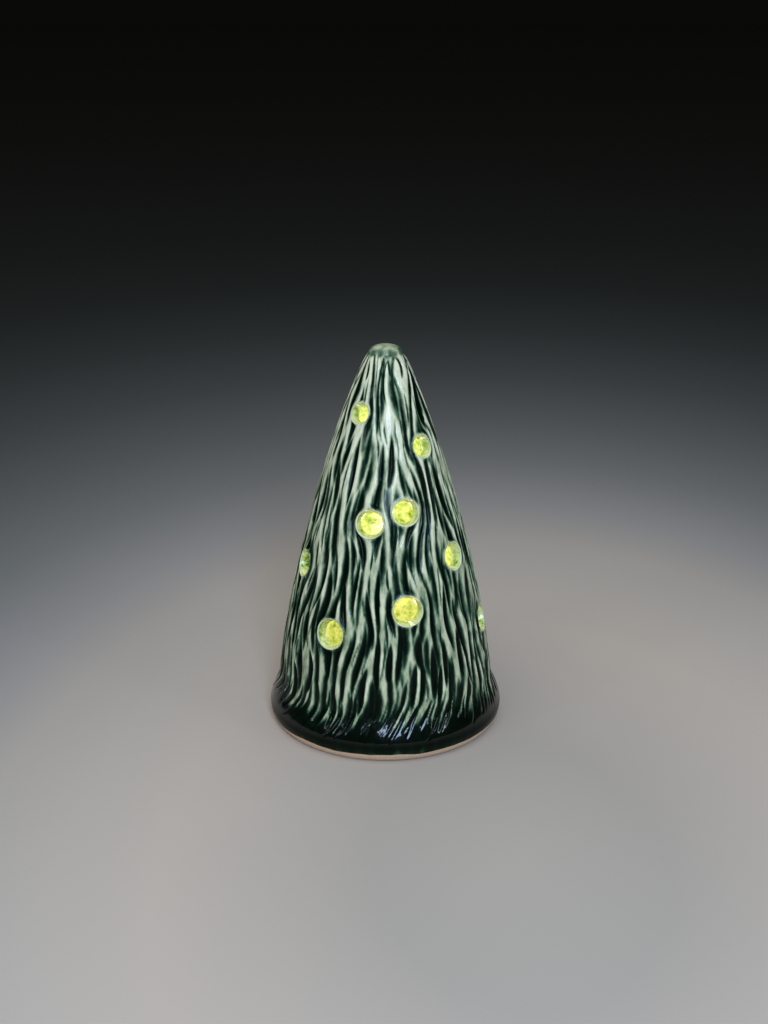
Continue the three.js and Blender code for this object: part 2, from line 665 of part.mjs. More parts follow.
// The chassis closes the cup from below and carries everything but the flame.
function tealightChassis() {
  const shank = SCREW_RADIUS + SEAT_GAP;
  const headRoom = TABLE_GAP + SEAT_GAP + SCREW_HEAD_HEIGHT + SEAT_GAP;
  const bosses = [];
  const screwHoles = [];
  for (const y of [-SCREW_Y, SCREW_Y]) {
    bosses.push(post(SCREW_BOSS_RADIUS, TABLE_GAP, SCREW_BOSS_TOP, SMALL_SIDES, SCREW_X, y));
    screwHoles.push(post(shank, TABLE_GAP, SCREW_BOSS_TOP + OVERCUT, SMALL_SIDES, SCREW_X, y));
    const headHole = SCREW_HEAD_RADIUS + SEAT_GAP;
    screwHoles.push(post(headHole, TABLE_GAP - OVERCUT, headRoom, SMALL_SIDES, SCREW_X, y));
  }
  const slotHalf = KNOB_WIDTH / 2 + SEAT_GAP;
  const slotEnd = KNOB_LENGTH / 2 + SEAT_GAP;
  const slot = block(
    [SWITCH_X - slotHalf, -slotEnd - SWITCH_TRAVEL, TABLE_GAP - OVERCUT],
    [SWITCH_X + slotHalf, slotEnd, CHASSIS_TOP + OVERCUT],
  );
  const whole = joined(
    post(CHASSIS_RADIUS, TABLE_GAP, CHASSIS_TOP, CUP_SIDES),
    wellHousing().translate([WELL_X, 0, 0]),
    switchRails(),
    contactPost(),
    ...bosses,
  );
  const hollows = wellHollows().map((hollow) => hollow.translate([WELL_X, 0, 0]));
  return cut(whole, slot, ...hollows, ...screwHoles);
}

// The switch: a carriage, a ribbed knob below it and a nose that presses the contact strip.
function switchSlider() {
  const half = SWITCH_WIDTH / 2;
  const low = CHASSIS_TOP + SEAT_GAP;
  const top = low + SWITCH_HEIGHT;
  const carriage = block([-half, -SWITCH_LENGTH / 2, low], [half, SWITCH_LENGTH / 2, top]);
  const knobHalf = KNOB_LENGTH / 2;
  const knob = block([-KNOB_WIDTH / 2, -knobHalf, SEAT_GAP], [KNOB_WIDTH / 2, knobHalf, top]);
  const grooves = [];
  for (let i = 1; i < KNOB_RIDGES; i++) {
    const y = -knobHalf + (i * KNOB_LENGTH) / KNOB_RIDGES;
    const grooveLow = [-KNOB_WIDTH, y - RIDGE_CUT / 2, 0];
    grooves.push(block(grooveLow, [KNOB_WIDTH, y + RIDGE_CUT / 2, SEAT_GAP + RIDGE_CUT]));
  }
  const noseTip = STRIP_X + CONTACT_THICKNESS + SEAT_GAP - SWITCH_X;
  const noseHalf = NOSE_LENGTH / 2;
  const stem = block([-half, -noseHalf, low], [half / 2, noseHalf, CONTACT_TOP]);
  const nose = block([noseTip, -noseHalf, CONTACT_FLOOR], [0, noseHalf, CONTACT_TOP]);
  return joined(cut(knob, ...grooves), carriage, stem, nose);
}

// A pan-head screw pointing up, with a cross recess in its head.
function chassisScrew() {
  const headLow = TABLE_GAP + SEAT_GAP;
  const headTop = headLow + SCREW_HEAD_HEIGHT;
  const tip = SCREW_BOSS_TOP + SCREW_LENGTH - SEAT_GAP;
  const outline = [
    [0, headLow],
    [0.8 * SCREW_HEAD_RADIUS, headLow],
    [SCREW_HEAD_RADIUS, headLow + 0.4 * SCREW_HEAD_HEIGHT],
    [SCREW_HEAD_RADIUS, headTop],
    [SCREW_RADIUS, headTop],
    [SCREW_RADIUS, tip - SCREW_RADIUS],
    [0, tip],
  ];
  const reach = 0.6 * SCREW_HEAD_RADIUS;
  const half = SCREW_CROSS / 2;
  const recess = headLow + 0.5 * SCREW_HEAD_HEIGHT;
  const across = block([-reach, -half, headLow - OVERCUT], [reach, half, recess]);
  const along = block([-half, -reach, headLow - OVERCUT], [half, reach, recess]);
  return cut(turned(outline, SMALL_SIDES), across, along);
}

const FINISHES = {
  glaze: { color: 0x3f5f4e, roughness: 0.12, metalness: 0 },
  whitePlastic: { color: 0xefeadd, roughness: 0.45, metalness: 0 },
  flamePlastic: { color: 0xffd58a, roughness: 0.35, metalness: 0, emissive: 0xffb040 },
  clearEpoxy: { color: 0xfff2c8, roughness: 0.08, metalness: 0 },
  tinnedWire: { color: 0xc4c6c8, roughness: 0.35, metalness: 1 },
  cellSteel: { color: 0xb9bcbe, roughness: 0.25, metalness: 1 },
  contactBrass: { color: 0xc9a25a, roughness: 0.35, metalness: 1 },
  greyPlastic: { color: 0x5b5e60, roughness: 0.5, metalness: 0 },
  screwSteel: { color: 0x8f9295, roughness: 0.3, metalness: 1 },
};

// A named mesh of one piece, placed in its group.
function piece(name, solid, finish, x = 0, y = 0, z = 0) {
  const material = new THREE.MeshStandardMaterial(FINISHES[finish]);
  const mesh = new THREE.Mesh(geometryOf(solid), material);
  mesh.name = name;
  mesh.position.set(x, y, z);
  return mesh;
}

// The tea light, standing in the middle of the tree.
function tealight() {
  const candle = new THREE.Group();
  candle.add(
    piece("tealight_cup", tealightCup(), "whitePlastic"),
    piece("flame_lens", flameLens(), "flamePlastic"),
    piece("led_bulb", ledBulb(), "clearEpoxy", 0, 0, LED_FLOOR),
    piece("led_anode_lead", anodeLead(), "tinnedWire"),
    piece("led_cathode_lead", cathodeLead(), "tinnedWire", -LEAD_PITCH / 2),
    piece("tealight_chassis", tealightChassis(), "whitePlastic"),
    piece("positive_contact", positiveContact(), "contactBrass"),
    piece("switch_slider", switchSlider(), "greyPlastic", SWITCH_X),
    piece("chassis_screw_front", chassisScrew(), "screwSteel", SCREW_X, -SCREW_Y),
    piece("chassis_screw_back", chassisScrew(), "screwSteel", SCREW_X, SCREW_Y),
  );
  const well = new THREE.Group();
  well.position.x = WELL_X;
  well.add(
    piece("coin_cell", coinCell(), "cellSteel", 0, 0, CELL_FLOOR),
    piece("negative_contact", negativeContact(), "contactBrass"),
    piece("battery_door", batteryDoor(), "whitePlastic"),
  );
  candle.add(well);
  return candle;
}

const luminary = new THREE.Group();
luminary.add(piece("tree_shell", treeShell(), "glaze"), tealight());

export default luminary;
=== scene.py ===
"""Christmas tree luminary: a carved stoneware cone with a green glaze, pierced with round light
holes, standing over a battery tea light.

The pieces are sized in millimetres and built in metres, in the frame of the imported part.
"""

import logging
import math
from collections.abc import Callable, Iterator, Sequence
from dataclasses import dataclass, field
from enum import Enum

import bpy
import numpy as np
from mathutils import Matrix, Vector


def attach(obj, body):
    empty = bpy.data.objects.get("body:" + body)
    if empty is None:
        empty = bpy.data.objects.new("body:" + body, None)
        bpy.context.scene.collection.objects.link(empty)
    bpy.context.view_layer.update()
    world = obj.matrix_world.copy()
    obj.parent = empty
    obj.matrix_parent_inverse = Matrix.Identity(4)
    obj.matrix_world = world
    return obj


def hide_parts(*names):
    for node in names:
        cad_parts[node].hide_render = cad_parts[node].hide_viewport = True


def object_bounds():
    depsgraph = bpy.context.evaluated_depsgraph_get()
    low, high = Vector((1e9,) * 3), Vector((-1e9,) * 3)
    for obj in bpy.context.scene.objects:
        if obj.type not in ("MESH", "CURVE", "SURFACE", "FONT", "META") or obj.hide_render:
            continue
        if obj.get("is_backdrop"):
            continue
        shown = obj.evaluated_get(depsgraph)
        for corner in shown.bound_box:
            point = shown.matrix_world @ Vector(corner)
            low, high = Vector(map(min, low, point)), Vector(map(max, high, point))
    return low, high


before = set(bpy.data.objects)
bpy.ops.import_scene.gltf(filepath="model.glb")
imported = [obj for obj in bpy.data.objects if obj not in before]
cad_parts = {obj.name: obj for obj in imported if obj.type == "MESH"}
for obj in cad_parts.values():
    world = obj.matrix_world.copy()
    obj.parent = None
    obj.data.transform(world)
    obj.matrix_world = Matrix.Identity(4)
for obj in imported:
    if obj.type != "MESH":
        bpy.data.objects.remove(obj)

CAD_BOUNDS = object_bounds()
MM = 0.001
ON_AXIS_MM = 1e-6
LOG = logging.getLogger("luminary")

Array = np.ndarray


class Body(Enum):
    """The bodies of the part that the pieces built here ride on."""

    TEALIGHT = "tealight"
    TREE = "tree"


def linear(hex_colour: str, alpha: float = 1.0) -> tuple[float, float, float, float]:
    """Turns an sRGB hex colour into the linear colour that a shader takes.

    Args:
        hex_colour: Six hex digits with a leading hash sign.
        alpha: The fourth value of the result.

    Returns:
        Red, green, blue and alpha.
    """
    shares = [int(hex_colour[i : i + 2], 16) / 255 for i in (1, 3, 5)]
    red, green, blue = (s / 12.92 if s <= 0.04045 else ((s + 0.055) / 1.055) ** 2.4 for s in shares)
    return red, green, blue, alpha


def smoothstep(value: Array | float, low: float, high: float) -> Array:
    """Rises smoothly from 0 at low to 1 at high."""
    share = np.clip((np.asarray(value, float) - low) / (high - low), 0.0, 1.0)
    return share * share * (3.0 - 2.0 * share)


def add_node(
    tree: bpy.types.NodeTree,
    kind: str,
    inputs: dict[str | int, object] | None = None,
    stops: Sequence[tuple[float, str]] = (),
    **settings: object,
) -> bpy.types.Node:
    """Adds one node to a material or world.

    Args:
        tree: The node tree to add it to.
        kind: Blender's name of the node's class, without ShaderNode before it.
        inputs: Socket name or number to a value, to the output that feeds it, or to the node whose
            first output feeds it.
        stops: Position and sRGB hex colour of a colour ramp's stops, lowest first.
        settings: Properties of the node.

    Returns:
        The new node.
    """
    node = tree.nodes.new("ShaderNode" + kind)
    for name, value in settings.items():
        setattr(node, name, value)
    for name, value in (inputs or {}).items():
        if isinstance(value, bpy.types.Node):
            value = value.outputs[0]
        if isinstance(value, bpy.types.NodeSocket):
            tree.links.new(value, node.inputs[name])
        else:
            node.inputs[name].default_value = value
    if stops:
        elements = node.color_ramp.elements
        while len(elements) < len(stops):
            elements.new(1.0)
        for element, (position, colour) in zip(elements, stops):
            element.position, element.color = position, linear(colour)
    return node


def height_over_table(tree: bpy.types.NodeTree) -> bpy.types.NodeSocket:
    """Adds the height, in metres, at which each point of a piece stands at rest."""
    place = add_node(tree, "TexCoord").outputs["Object"]
    return add_node(tree, "SeparateXYZ", {0: place}).outputs["Z"]


def mottle(
    tree: bpy.types.NodeTree,
    size_mm: float,
    detail: float = 2.0,
    roughness: float = 0.5,
    tall: float = 1.0,
) -> bpy.types.Node:
    """Adds an uneven pattern, such as runs, grit or mould tooth, whose lumps have a real size.

    Args:
        tree: The node tree to add it to.
        size_mm: Width of a lump.
        detail: Octaves of finer lumps.
        roughness: Strength of the finer octaves.
        tall: How many times taller than wide a lump is.

    Returns:
        The node whose first output is the pattern, from 0 to 1.
    """
    place = add_node(tree, "TexCoord").outputs["Object"]
    stretched = add_node(
        tree, "VectorMath", {0: place, 1: (1.0, 1.0, 1.0 / tall)}, operation="MULTIPLY"
    )
    scale = 1.0 / (size_mm * MM)
    inputs = {"Vector": stretched, "Scale": scale, "Detail": detail, "Roughness": roughness}
    return add_node(tree, "TexNoise", inputs)


class Finish:
    """A finish makes one procedural material. Each kind says how its surface is made."""

    name: str = "finish"

    def material(self) -> bpy.types.Material:
        """Makes the material the first time it is asked for.

        Returns:
            The material of this finish.
        """
        made = bpy.data.materials.get(self.name)
        if not made:
            made = bpy.data.materials.new(self.name)
            made.use_nodes = True
            made.node_tree.nodes.clear()
            surface = self.surface(made.node_tree)
            add_node(made.node_tree, "OutputMaterial", {"Surface": surface})
        return made

    def surface(self, tree: bpy.types.NodeTree) -> bpy.types.Node:
        """Adds the nodes of the surface.

        Args:
            tree: The node tree to add the nodes to.

        Returns:
            The node whose first output is the shader.
        """
        raise NotImplementedError


@dataclass(frozen=True)
class CeladonGlaze(Finish):
    """Green glaze, dipped and fired to a gloss, over carved stoneware.

    It runs thin and pale over each ridge and pools nearly black in the gouges. Its thickness also
    carries painted shade, deeper on one flank of each gouge, and a painted highlight, paler on the
    tip of the cap.
    The foot is wiped before firing, so the clay is bare and matt there.

    Attributes:
        name: Name of the material.
        stops: Colours from the thinnest glaze to the deepest pool.
        clay: Colour of the fired clay.
        clay_speck: Colour of its darker grit.
        run_mm: Width of a run in the glaze.
        unevenness: How much of the whole thickness the runs add and take.
        ripple_mm: Width of a ripple in the gloss.
        grit_mm: Width of the clay's grit.
        thin_and_deep: Thickness at which the gloss starts to fall, and at which it is least.
        ridge_gloss: Gloss of the thin glaze.
        pool_gloss: Gloss deep in a gouge.
        shoulder_gloss: Gloss of the rim's shoulder.
        shoulder_mm: Heights at which that gloss starts and is full.
        skirt_mm: Heights at which it starts to fade and is gone.
        wiped_mm: Height that the foot is wiped to.
        wander_mm: How far that line wanders up and down.
        wander_length_mm: Length of its waves.
        wiped_edge_mm: Half of the width of its edge.
    """

    name: str = "celadon_glaze_over_stoneware"
    stops: tuple[tuple[float, str], ...] = (
        (0.00, "#EAECCB"), (0.15, "#D0D5B2"), (0.30, "#9FAC88"), (0.44, "#587259"),
        (0.58, "#1E3A2A"), (0.73, "#07180E"), (1.00, "#010A04"),
    )
    clay: str = "#E0C0A0"
    clay_speck: str = "#BE9E7E"
    run_mm: float = 2.6
    unevenness: float = 0.7
    ripple_mm: float = 2.2
    grit_mm: float = 0.5
    thin_and_deep: tuple[float, float] = (0.2, 0.7)
    ridge_gloss: float = 0.55
    pool_gloss: float = 0.12
    shoulder_gloss: float = 0.8
    shoulder_mm: tuple[float, float] = (7.0, 10.5)
    skirt_mm: tuple[float, float] = (15.4, 19.6)
    wiped_mm: float = 3.9
    wander_mm: float = 2.4
    wander_length_mm: float = 14.0
    wiped_edge_mm: float = 0.15

    def surface(self, tree: bpy.types.NodeTree) -> bpy.types.Node:
        """Mixes the glaze over the clay by where the glaze has been wiped off.

        Args:
            tree: The node tree to add the nodes to.

        Returns:
            The node whose first output is the shader.
        """
        thickness = add_node(tree, "Attribute", attribute_name="glaze").outputs["Fac"]
        runs = mottle(tree, self.run_mm, 3.0, 0.6, 3.5)
        share = {0: runs, 1: self.unevenness, 2: -self.unevenness / 2}
        uneven = add_node(tree, "Math", share, operation="MULTIPLY_ADD")
        depth = add_node(tree, "Math", {0: thickness, 1: uneven}, operation="ADD", use_clamp=True)
        ripple = mottle(tree, self.ripple_mm)
        wave = add_node(tree, "Bump", {"Strength": 0.3, "Distance": 0.15 * MM, "Height": ripple})
        glaze = add_node(tree, "BsdfPrincipled", {
            "Base Color": add_node(tree, "ValToRGB", {"Fac": depth}, self.stops),
            "Roughness": 0.3,
            "IOR": 1.5,
            "Specular IOR Level": 0.05,
            "Coat Weight": self.gloss(tree, depth),
            "Coat Roughness": 0.05,
            "Normal": wave,
        })
        grit = mottle(tree, self.grit_mm, 4.0, 0.7)
        specks = [(0.3, self.clay_speck), (0.55, self.clay)]
        clay = add_node(tree, "BsdfPrincipled", {
            "Base Color": add_node(tree, "ValToRGB", {"Fac": grit}, specks),
            "Roughness": 0.85,
            "Normal": add_node(
                tree, "Bump", {"Strength": 0.6, "Distance": 0.15 * MM, "Height": grit}
            ),
        })
        return add_node(tree, "MixShader", {0: self.bare_foot(tree), 1: glaze, 2: clay})

    def gloss(self, tree: bpy.types.NodeTree, depth: bpy.types.Node) -> bpy.types.Node:
        """Most gloss on the ridges and the shoulder of the rim, and little deep in the gouges.

        The gouges see only the dark wall across from them.

        Args:
            tree: The node tree to add the nodes to.
            depth: The node that gives the thickness of the glaze.

        Returns:
            The node whose first output is the gloss.
        """
        height = height_over_table(tree)
        shoulder_mm, skirt_mm = ([h * MM for h in pair] for pair in (self.shoulder_mm, self.skirt_mm))
        ridges, over_rim, under_waist = (
            add_node(tree, "MapRange", {
                "Value": value, "From Min": low, "From Max": high, "To Min": start, "To Max": end,
            })
            for value, (low, high), start, end in (
                (depth, self.thin_and_deep, self.ridge_gloss, self.pool_gloss),
                (height, shoulder_mm, 0.0, self.shoulder_gloss),
                (height, skirt_mm, 1.0, 0.0),
            )
        )
        shoulder = add_node(tree, "Math", {0: over_rim, 1: under_waist}, operation="MULTIPLY")
        return add_node(tree, "Math", {0: ridges, 1: shoulder}, operation="MAXIMUM")

    def bare_foot(self, tree: bpy.types.NodeTree) -> bpy.types.Node:
        """Finds the foot, up to the wavy line that the glaze is wiped off to.

        Args:
            tree: The node tree to add the nodes to.

        Returns:
            The node whose first output is 1 below that line and 0 above it.
        """
        lowest = self.wiped_mm - self.wander_mm / 2
        wander = {0: mottle(tree, self.wander_length_mm), 1: self.wander_mm * MM, 2: lowest * MM}
        line = add_node(tree, "Math", wander, operation="MULTIPLY_ADD")
        above = add_node(tree, "Math", {0: height_over_table(tree), 1: line}, operation="SUBTRACT")
        edge = self.wiped_edge_mm * MM
        return add_node(tree, "MapRange", {
            "Value": above, "From Min": -edge, "From Max": edge, "To Min": 1.0, "To Max": 0.0,
        })


@dataclass(frozen=True)
class LinerGlaze(Finish):
    """The same glaze poured thin inside the tree and in its holes, so it looks pale and greenish
    yellow in the warm light. It is glossy, with runs."""

    name: str = "thin_liner_glaze"
    pale: str = "#DDE2A2"
    green: str = "#A9BE62"
    pooled: str = "#5A7726"
    run_mm: float = 3.2

    def surface(self, tree: bpy.types.NodeTree) -> bpy.types.Node:
        """A glossy glaze with soft green runs.

        Args:
            tree: The node tree to add the nodes to.

        Returns:
            The node whose first output is the shader.
        """
        runs = mottle(tree, self.run_mm, 5.0, 0.65)
        stops = [(0.30, self.pooled), (0.42, self.green), (0.56, self.pale)]
        wave = add_node(tree, "Bump", {"Strength": 0.5, "Distance": 0.4 * MM, "Height": runs})
        return add_node(tree, "BsdfPrincipled", {
            "Base Color": add_node(tree, "ValToRGB", {"Fac": runs}, stops),
            "Roughness": 0.14,
            "IOR": 1.52,
            "Normal": wave,
        })


@dataclass(frozen=True)
class MouldedPlastic(Finish):
    """Injection moulded plastic: one colour through and through, with the fine even tooth of the
    mould's spark-eroded face and slight flow shading."""

    name: str = "moulded_polypropylene"
    colour: str = "#EDE8DA"
    shade: str = "#DDD6C4"
    roughness: float = 0.42
    tooth_mm: float = 0.25
    flow_mm: float = 12.0

    def surface(self, tree: bpy.types.NodeTree) -> bpy.types.Node:
        """A satin plastic with a fine tooth.

        Args:
            tree: The node tree to add the nodes to.

        Returns:
            The node whose first output is the shader.
        """
        flow, grain = mottle(tree, self.flow_mm), mottle(tree, self.tooth_mm)
        stops = [(0.3, self.shade), (0.7, self.colour)]
        tooth = add_node(tree, "Bump", {"Strength": 0.2, "Distance": 0.03 * MM, "Height": grain})
        return add_node(tree, "BsdfPrincipled", {
            "Base Color": add_node(tree, "ValToRGB", {"Fac": flow}, stops),
            "Roughness": self.roughness,
            "IOR": 1.49,
            "Subsurface Weight": 0.08,
            "Subsurface Scale": 2.0 * MM,
            "Normal": tooth,
        })


@dataclass(frozen=True)
class GlowingFlamePlastic(Finish):
    """Frosted polystyrene flame tip, lit from inside: brightest low down, near the diode, and
    deeper orange towards its point."""

    name: str = "frosted_polystyrene_flame"
    colour: str = "#FFE3AE"
    hot: str = "#FFD27A"
    cool: str = "#FF9A3C"
    low_mm: float = 14.0
    high_mm: float = 36.0
    frost_mm: float = 0.6
    strength: float = 3.0

    def surface(self, tree: bpy.types.NodeTree) -> bpy.types.Node:
        """A frosted plastic that glows by its height.

        Args:
            tree: The node tree to add the nodes to.

        Returns:
            The node whose first output is the shader.
        """
        low, high = self.low_mm * MM, self.high_mm * MM
        climb = {"Value": height_over_table(tree), "From Min": low, "From Max": high}
        share = add_node(tree, "MapRange", climb)
        frost = mottle(tree, self.frost_mm)
        tooth = add_node(tree, "Bump", {"Strength": 0.3, "Distance": 0.05 * MM, "Height": frost})
        stops = [(0.0, self.hot), (1.0, self.cool)]
        return add_node(tree, "BsdfPrincipled", {
            "Base Color": linear(self.colour),
            "Roughness": 0.38,
            "IOR": 1.57,
            "Emission Color": add_node(tree, "ValToRGB", {"Fac": share}, stops),
            "Emission Strength": self.strength,
            "Normal": tooth,
        })


@dataclass(frozen=True)
class CastEpoxy(Finish):
    """Clear epoxy cast round the diode: glossy, faintly warm and streaked, with the lit chip
    inside."""

    name: str = "cast_epoxy_diode"
    colour: str = "#FFF1C4"
    streak: str = "#FFE39A"
    streak_mm: float = 1.5
    strength: float = 2.0

    def surface(self, tree: bpy.types.NodeTree) -> bpy.types.Node:
        """A glossy, lit resin with faint streaks.

        Args:
            tree: The node tree to add the nodes to.

        Returns:
            The node whose first output is the shader.
        """
        stops = [(0.3, self.streak), (0.7, self.colour)]
        colour = add_node(tree, "ValToRGB", {"Fac": mottle(tree, self.streak_mm)}, stops)
        return add_node(tree, "BsdfPrincipled", {
            "Base Color": colour,
            "Roughness": 0.08,
            "IOR": 1.54,
            "Emission Color": colour,
            "Emission Strength": self.strength,
        })


@dataclass(frozen=True)
class PlatedMetal(Finish):
    """Plated or tinned metal: rolled or drawn, with fine lines along one way and faint stains."""

    name: str = "nickel_plated_steel"
    bright: str = "#D8D9D8"
    dull: str = "#A9ABAA"
    roughness: float = 0.28
    line_mm: float = 0.3
    stretch: float = 12.0

    def surface(self, tree: bpy.types.NodeTree) -> bpy.types.Node:
        """A metal with drawn lines in its colour and its polish.

        Args:
            tree: The node tree to add the nodes to.

        Returns:
            The node whose first output is the shader.
        """
        place = add_node(tree, "TexCoord").outputs["Object"]
        drawn = add_node(tree, "Mapping", {"Vector": place, "Scale": (1 / self.stretch, 1.0, 1.0)})
        scale = 1.0 / (self.line_mm * MM)
        lines = add_node(tree, "TexNoise", {"Vector": drawn, "Scale": scale, "Detail": 3.0})
        stops = [(0.3, self.dull), (0.65, self.bright)]
        smooth, worn = self.roughness - 0.06, self.roughness + 0.1
        return add_node(tree, "BsdfPrincipled", {
            "Base Color": add_node(tree, "ValToRGB", {"Fac": lines}, stops),
            "Metallic": 1.0,
            "Roughness": add_node(
                tree, "MapRange", {"Value": lines, "To Min": smooth, "To Max": worn}
            ),
        })


GLAZE = CeladonGlaze()
LINER = LinerGlaze()
CUP_PLASTIC = MouldedPlastic()
SWITCH_PLASTIC = MouldedPlastic("moulded_abs_black", "#2E3032", "#222426", 0.5, 0.2, 6.0)
FLAME = GlowingFlamePlastic()
EPOXY = CastEpoxy()
TINNED = PlatedMetal("tinned_copper_wire", "#D9DADB", "#B4B5B6", 0.32, 0.15, 6.0)
NICKEL = PlatedMetal("nickel_plated_steel_can")
BRASS = PlatedMetal("rolled_spring_brass", "#D9B469", "#B98F47", 0.3, 0.2, 10.0)
ZINC = PlatedMetal("zinc_plated_screw_steel", "#B9BBBC", "#8D9092", 0.34, 0.2, 3.0)


def strip(low: Array, high: Array, low_level: Array | None = None,
          high_level: Array | None = None) -> Array:
    """Triangles between two closed rings whose point counts are equal or one to two.

    Args:
        low: Point numbers of the first ring, or one point.
        high: Point numbers of the second ring, or one point.
        low_level: Heights of the first ring's points, which choose the diagonals.
        high_level: Heights of the second ring's points.

    Returns:
        One row of three point numbers for each triangle.
    """
    low_next, high_next = np.roll(low, -1), np.roll(high, -1)
    if len(low) == 1:
        return np.stack([np.full(len(high), low[0]), high_next, high], 1)
    if len(high) == 1:
        return np.stack([low, low_next, np.full(len(low), high[0])], 1)
    if len(low) == len(high):
        rising = np.stack([low, low_next, high_next, low, high_next, high], 1)
        if low_level is None or high_level is None:
            return rising.reshape(-1, 3)
        falling = np.stack([low, low_next, high, low_next, high_next, high], 1)
        jump_rising = np.abs(low_level - np.roll(high_level, -1))
        jump_falling = np.abs(np.roll(low_level, -1) - high_level)
        return np.where((jump_rising <= jump_falling)[:, None], rising, falling).reshape(-1, 3)
    if 2 * len(low) == len(high):
        even, odd, after = high[0::2], high[1::2], high_next[1::2]
        parts = [(low, odd, even), (low, low_next, odd), (low_next, after, odd)]
    else:
        even, odd, after = low[0::2], low[1::2], low_next[1::2]
        parts = [(even, odd, high), (odd, high_next, high), (odd, after, high_next)]
    return np.concatenate([np.stack(part, 1) for part in parts])


def zipped(first: Array, first_turns: Array, second: Array, second_turns: Array) -> Array:
    """Triangles that close the gap between two rings round one middle.

    Args:
        first: Point numbers of the first ring, in order of angle.
        first_turns: Angle of each of its points, rising.
        second: Point numbers of the second ring.
        second_turns: Angle of each of its points, rising.

    Returns:
        One row of three point numbers for each triangle.
    """
    a, b = len(first), len(second)
    first_turns = np.append(first_turns, first_turns[0] + 2 * math.pi)
    second_turns = np.append(second_turns, second_turns[0] + 2 * math.pi)
    corners, i, j = [], 0, 0
    while i < a or j < b:
        if j == b or (i < a and first_turns[i + 1] <= second_turns[j + 1]):
            corners.append((first[i % a], first[(i + 1) % a], second[j % b]))
            i += 1
        else:
            corners.append((first[i % a], second[(j + 1) % b], second[j % b]))
            j += 1
    return np.array(corners)


@dataclass
class Mesh:
    """Points in millimetres, triangles and one value a point, gathered before they are built."""

    points: list[Array] = field(default_factory=list)
    glaze: list[Array] = field(default_factory=list)
    triangles: list[Array] = field(default_factory=list)
    slots: list[Array] = field(default_factory=list)
    count: int = 0

    def add_points(self, points: Array, glaze: Array | float = 0.0) -> Array:
        """Adds points.

        Args:
            points: One row of x, y and z for each.
            glaze: Glaze thickness, an array or one number for all.

        Returns:
            The numbers of the new points.
        """
        points = np.asarray(points, float).reshape(-1, 3)
        self.points.append(points)
        self.glaze.append(np.broadcast_to(glaze, len(points)).astype(float))
        first = self.count
        self.count += len(points)
        return np.arange(first, self.count)

    def add_triangles(self, corners: Array, slot: int = 0) -> None:
        """Adds triangles by the numbers of their corners, all with one material slot."""
        self.triangles.append(np.asarray(corners, int).reshape(-1, 3))
        self.slots.append(np.full(len(self.triangles[-1]), slot))

    def build(self, name: str, finishes: Sequence[Finish], body: Body, slot: str) -> bpy.types.Object:
        """Makes the Blender object.

        Args:
            name: Name of the piece.
            finishes: Its finishes, in the order of the material slots.
            body: The body that it rides on.
            slot: The record's material slot. Not used.

        Returns:
            The new object.
        """
        corners = np.concatenate(self.triangles)
        used, corners = np.unique(corners, return_inverse=True)
        corners = corners.reshape(-1, 3)
        points = np.concatenate(self.points)[used] * MM
        mesh = bpy.data.meshes.new(name)
        mesh.vertices.add(len(used))
        mesh.vertices.foreach_set("co", points.astype(np.float32).ravel())
        mesh.loops.add(corners.size)
        mesh.loops.foreach_set("vertex_index", corners.astype(np.int32).ravel())
        mesh.polygons.add(len(corners))
        mesh.polygons.foreach_set("loop_start", np.arange(0, corners.size, 3, dtype=np.int32))
        slots = np.concatenate(self.slots).astype(np.int32)
        mesh.polygons.foreach_set("material_index", slots)
        mesh.polygons.foreach_set("use_smooth", np.ones(len(corners), bool))
        attribute = mesh.attributes.new("glaze", "FLOAT", "POINT")
        attribute.data.foreach_set("value", np.concatenate(self.glaze)[used].astype(np.float32))
        mesh.update(calc_edges=True)
        mesh.validate()
        for finish in finishes:
            mesh.materials.append(finish.material())
        made = bpy.data.objects.new(name, mesh)
        bpy.context.scene.collection.objects.link(made)
        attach(made, body.value)
        LOG.info("%s: %d points, %d triangles", name, len(used), len(corners))
        return made


@dataclass(frozen=True)
class LightHole:
    """A tapered light hole in the tree's wall.

    Attributes:
        turn: Degrees from the front, towards +X.
        rise: Share of the tree's height that its middle stands at.
        size: Width of its mouth in millimetres.
    """

    turn: float
    rise: float
    size: float


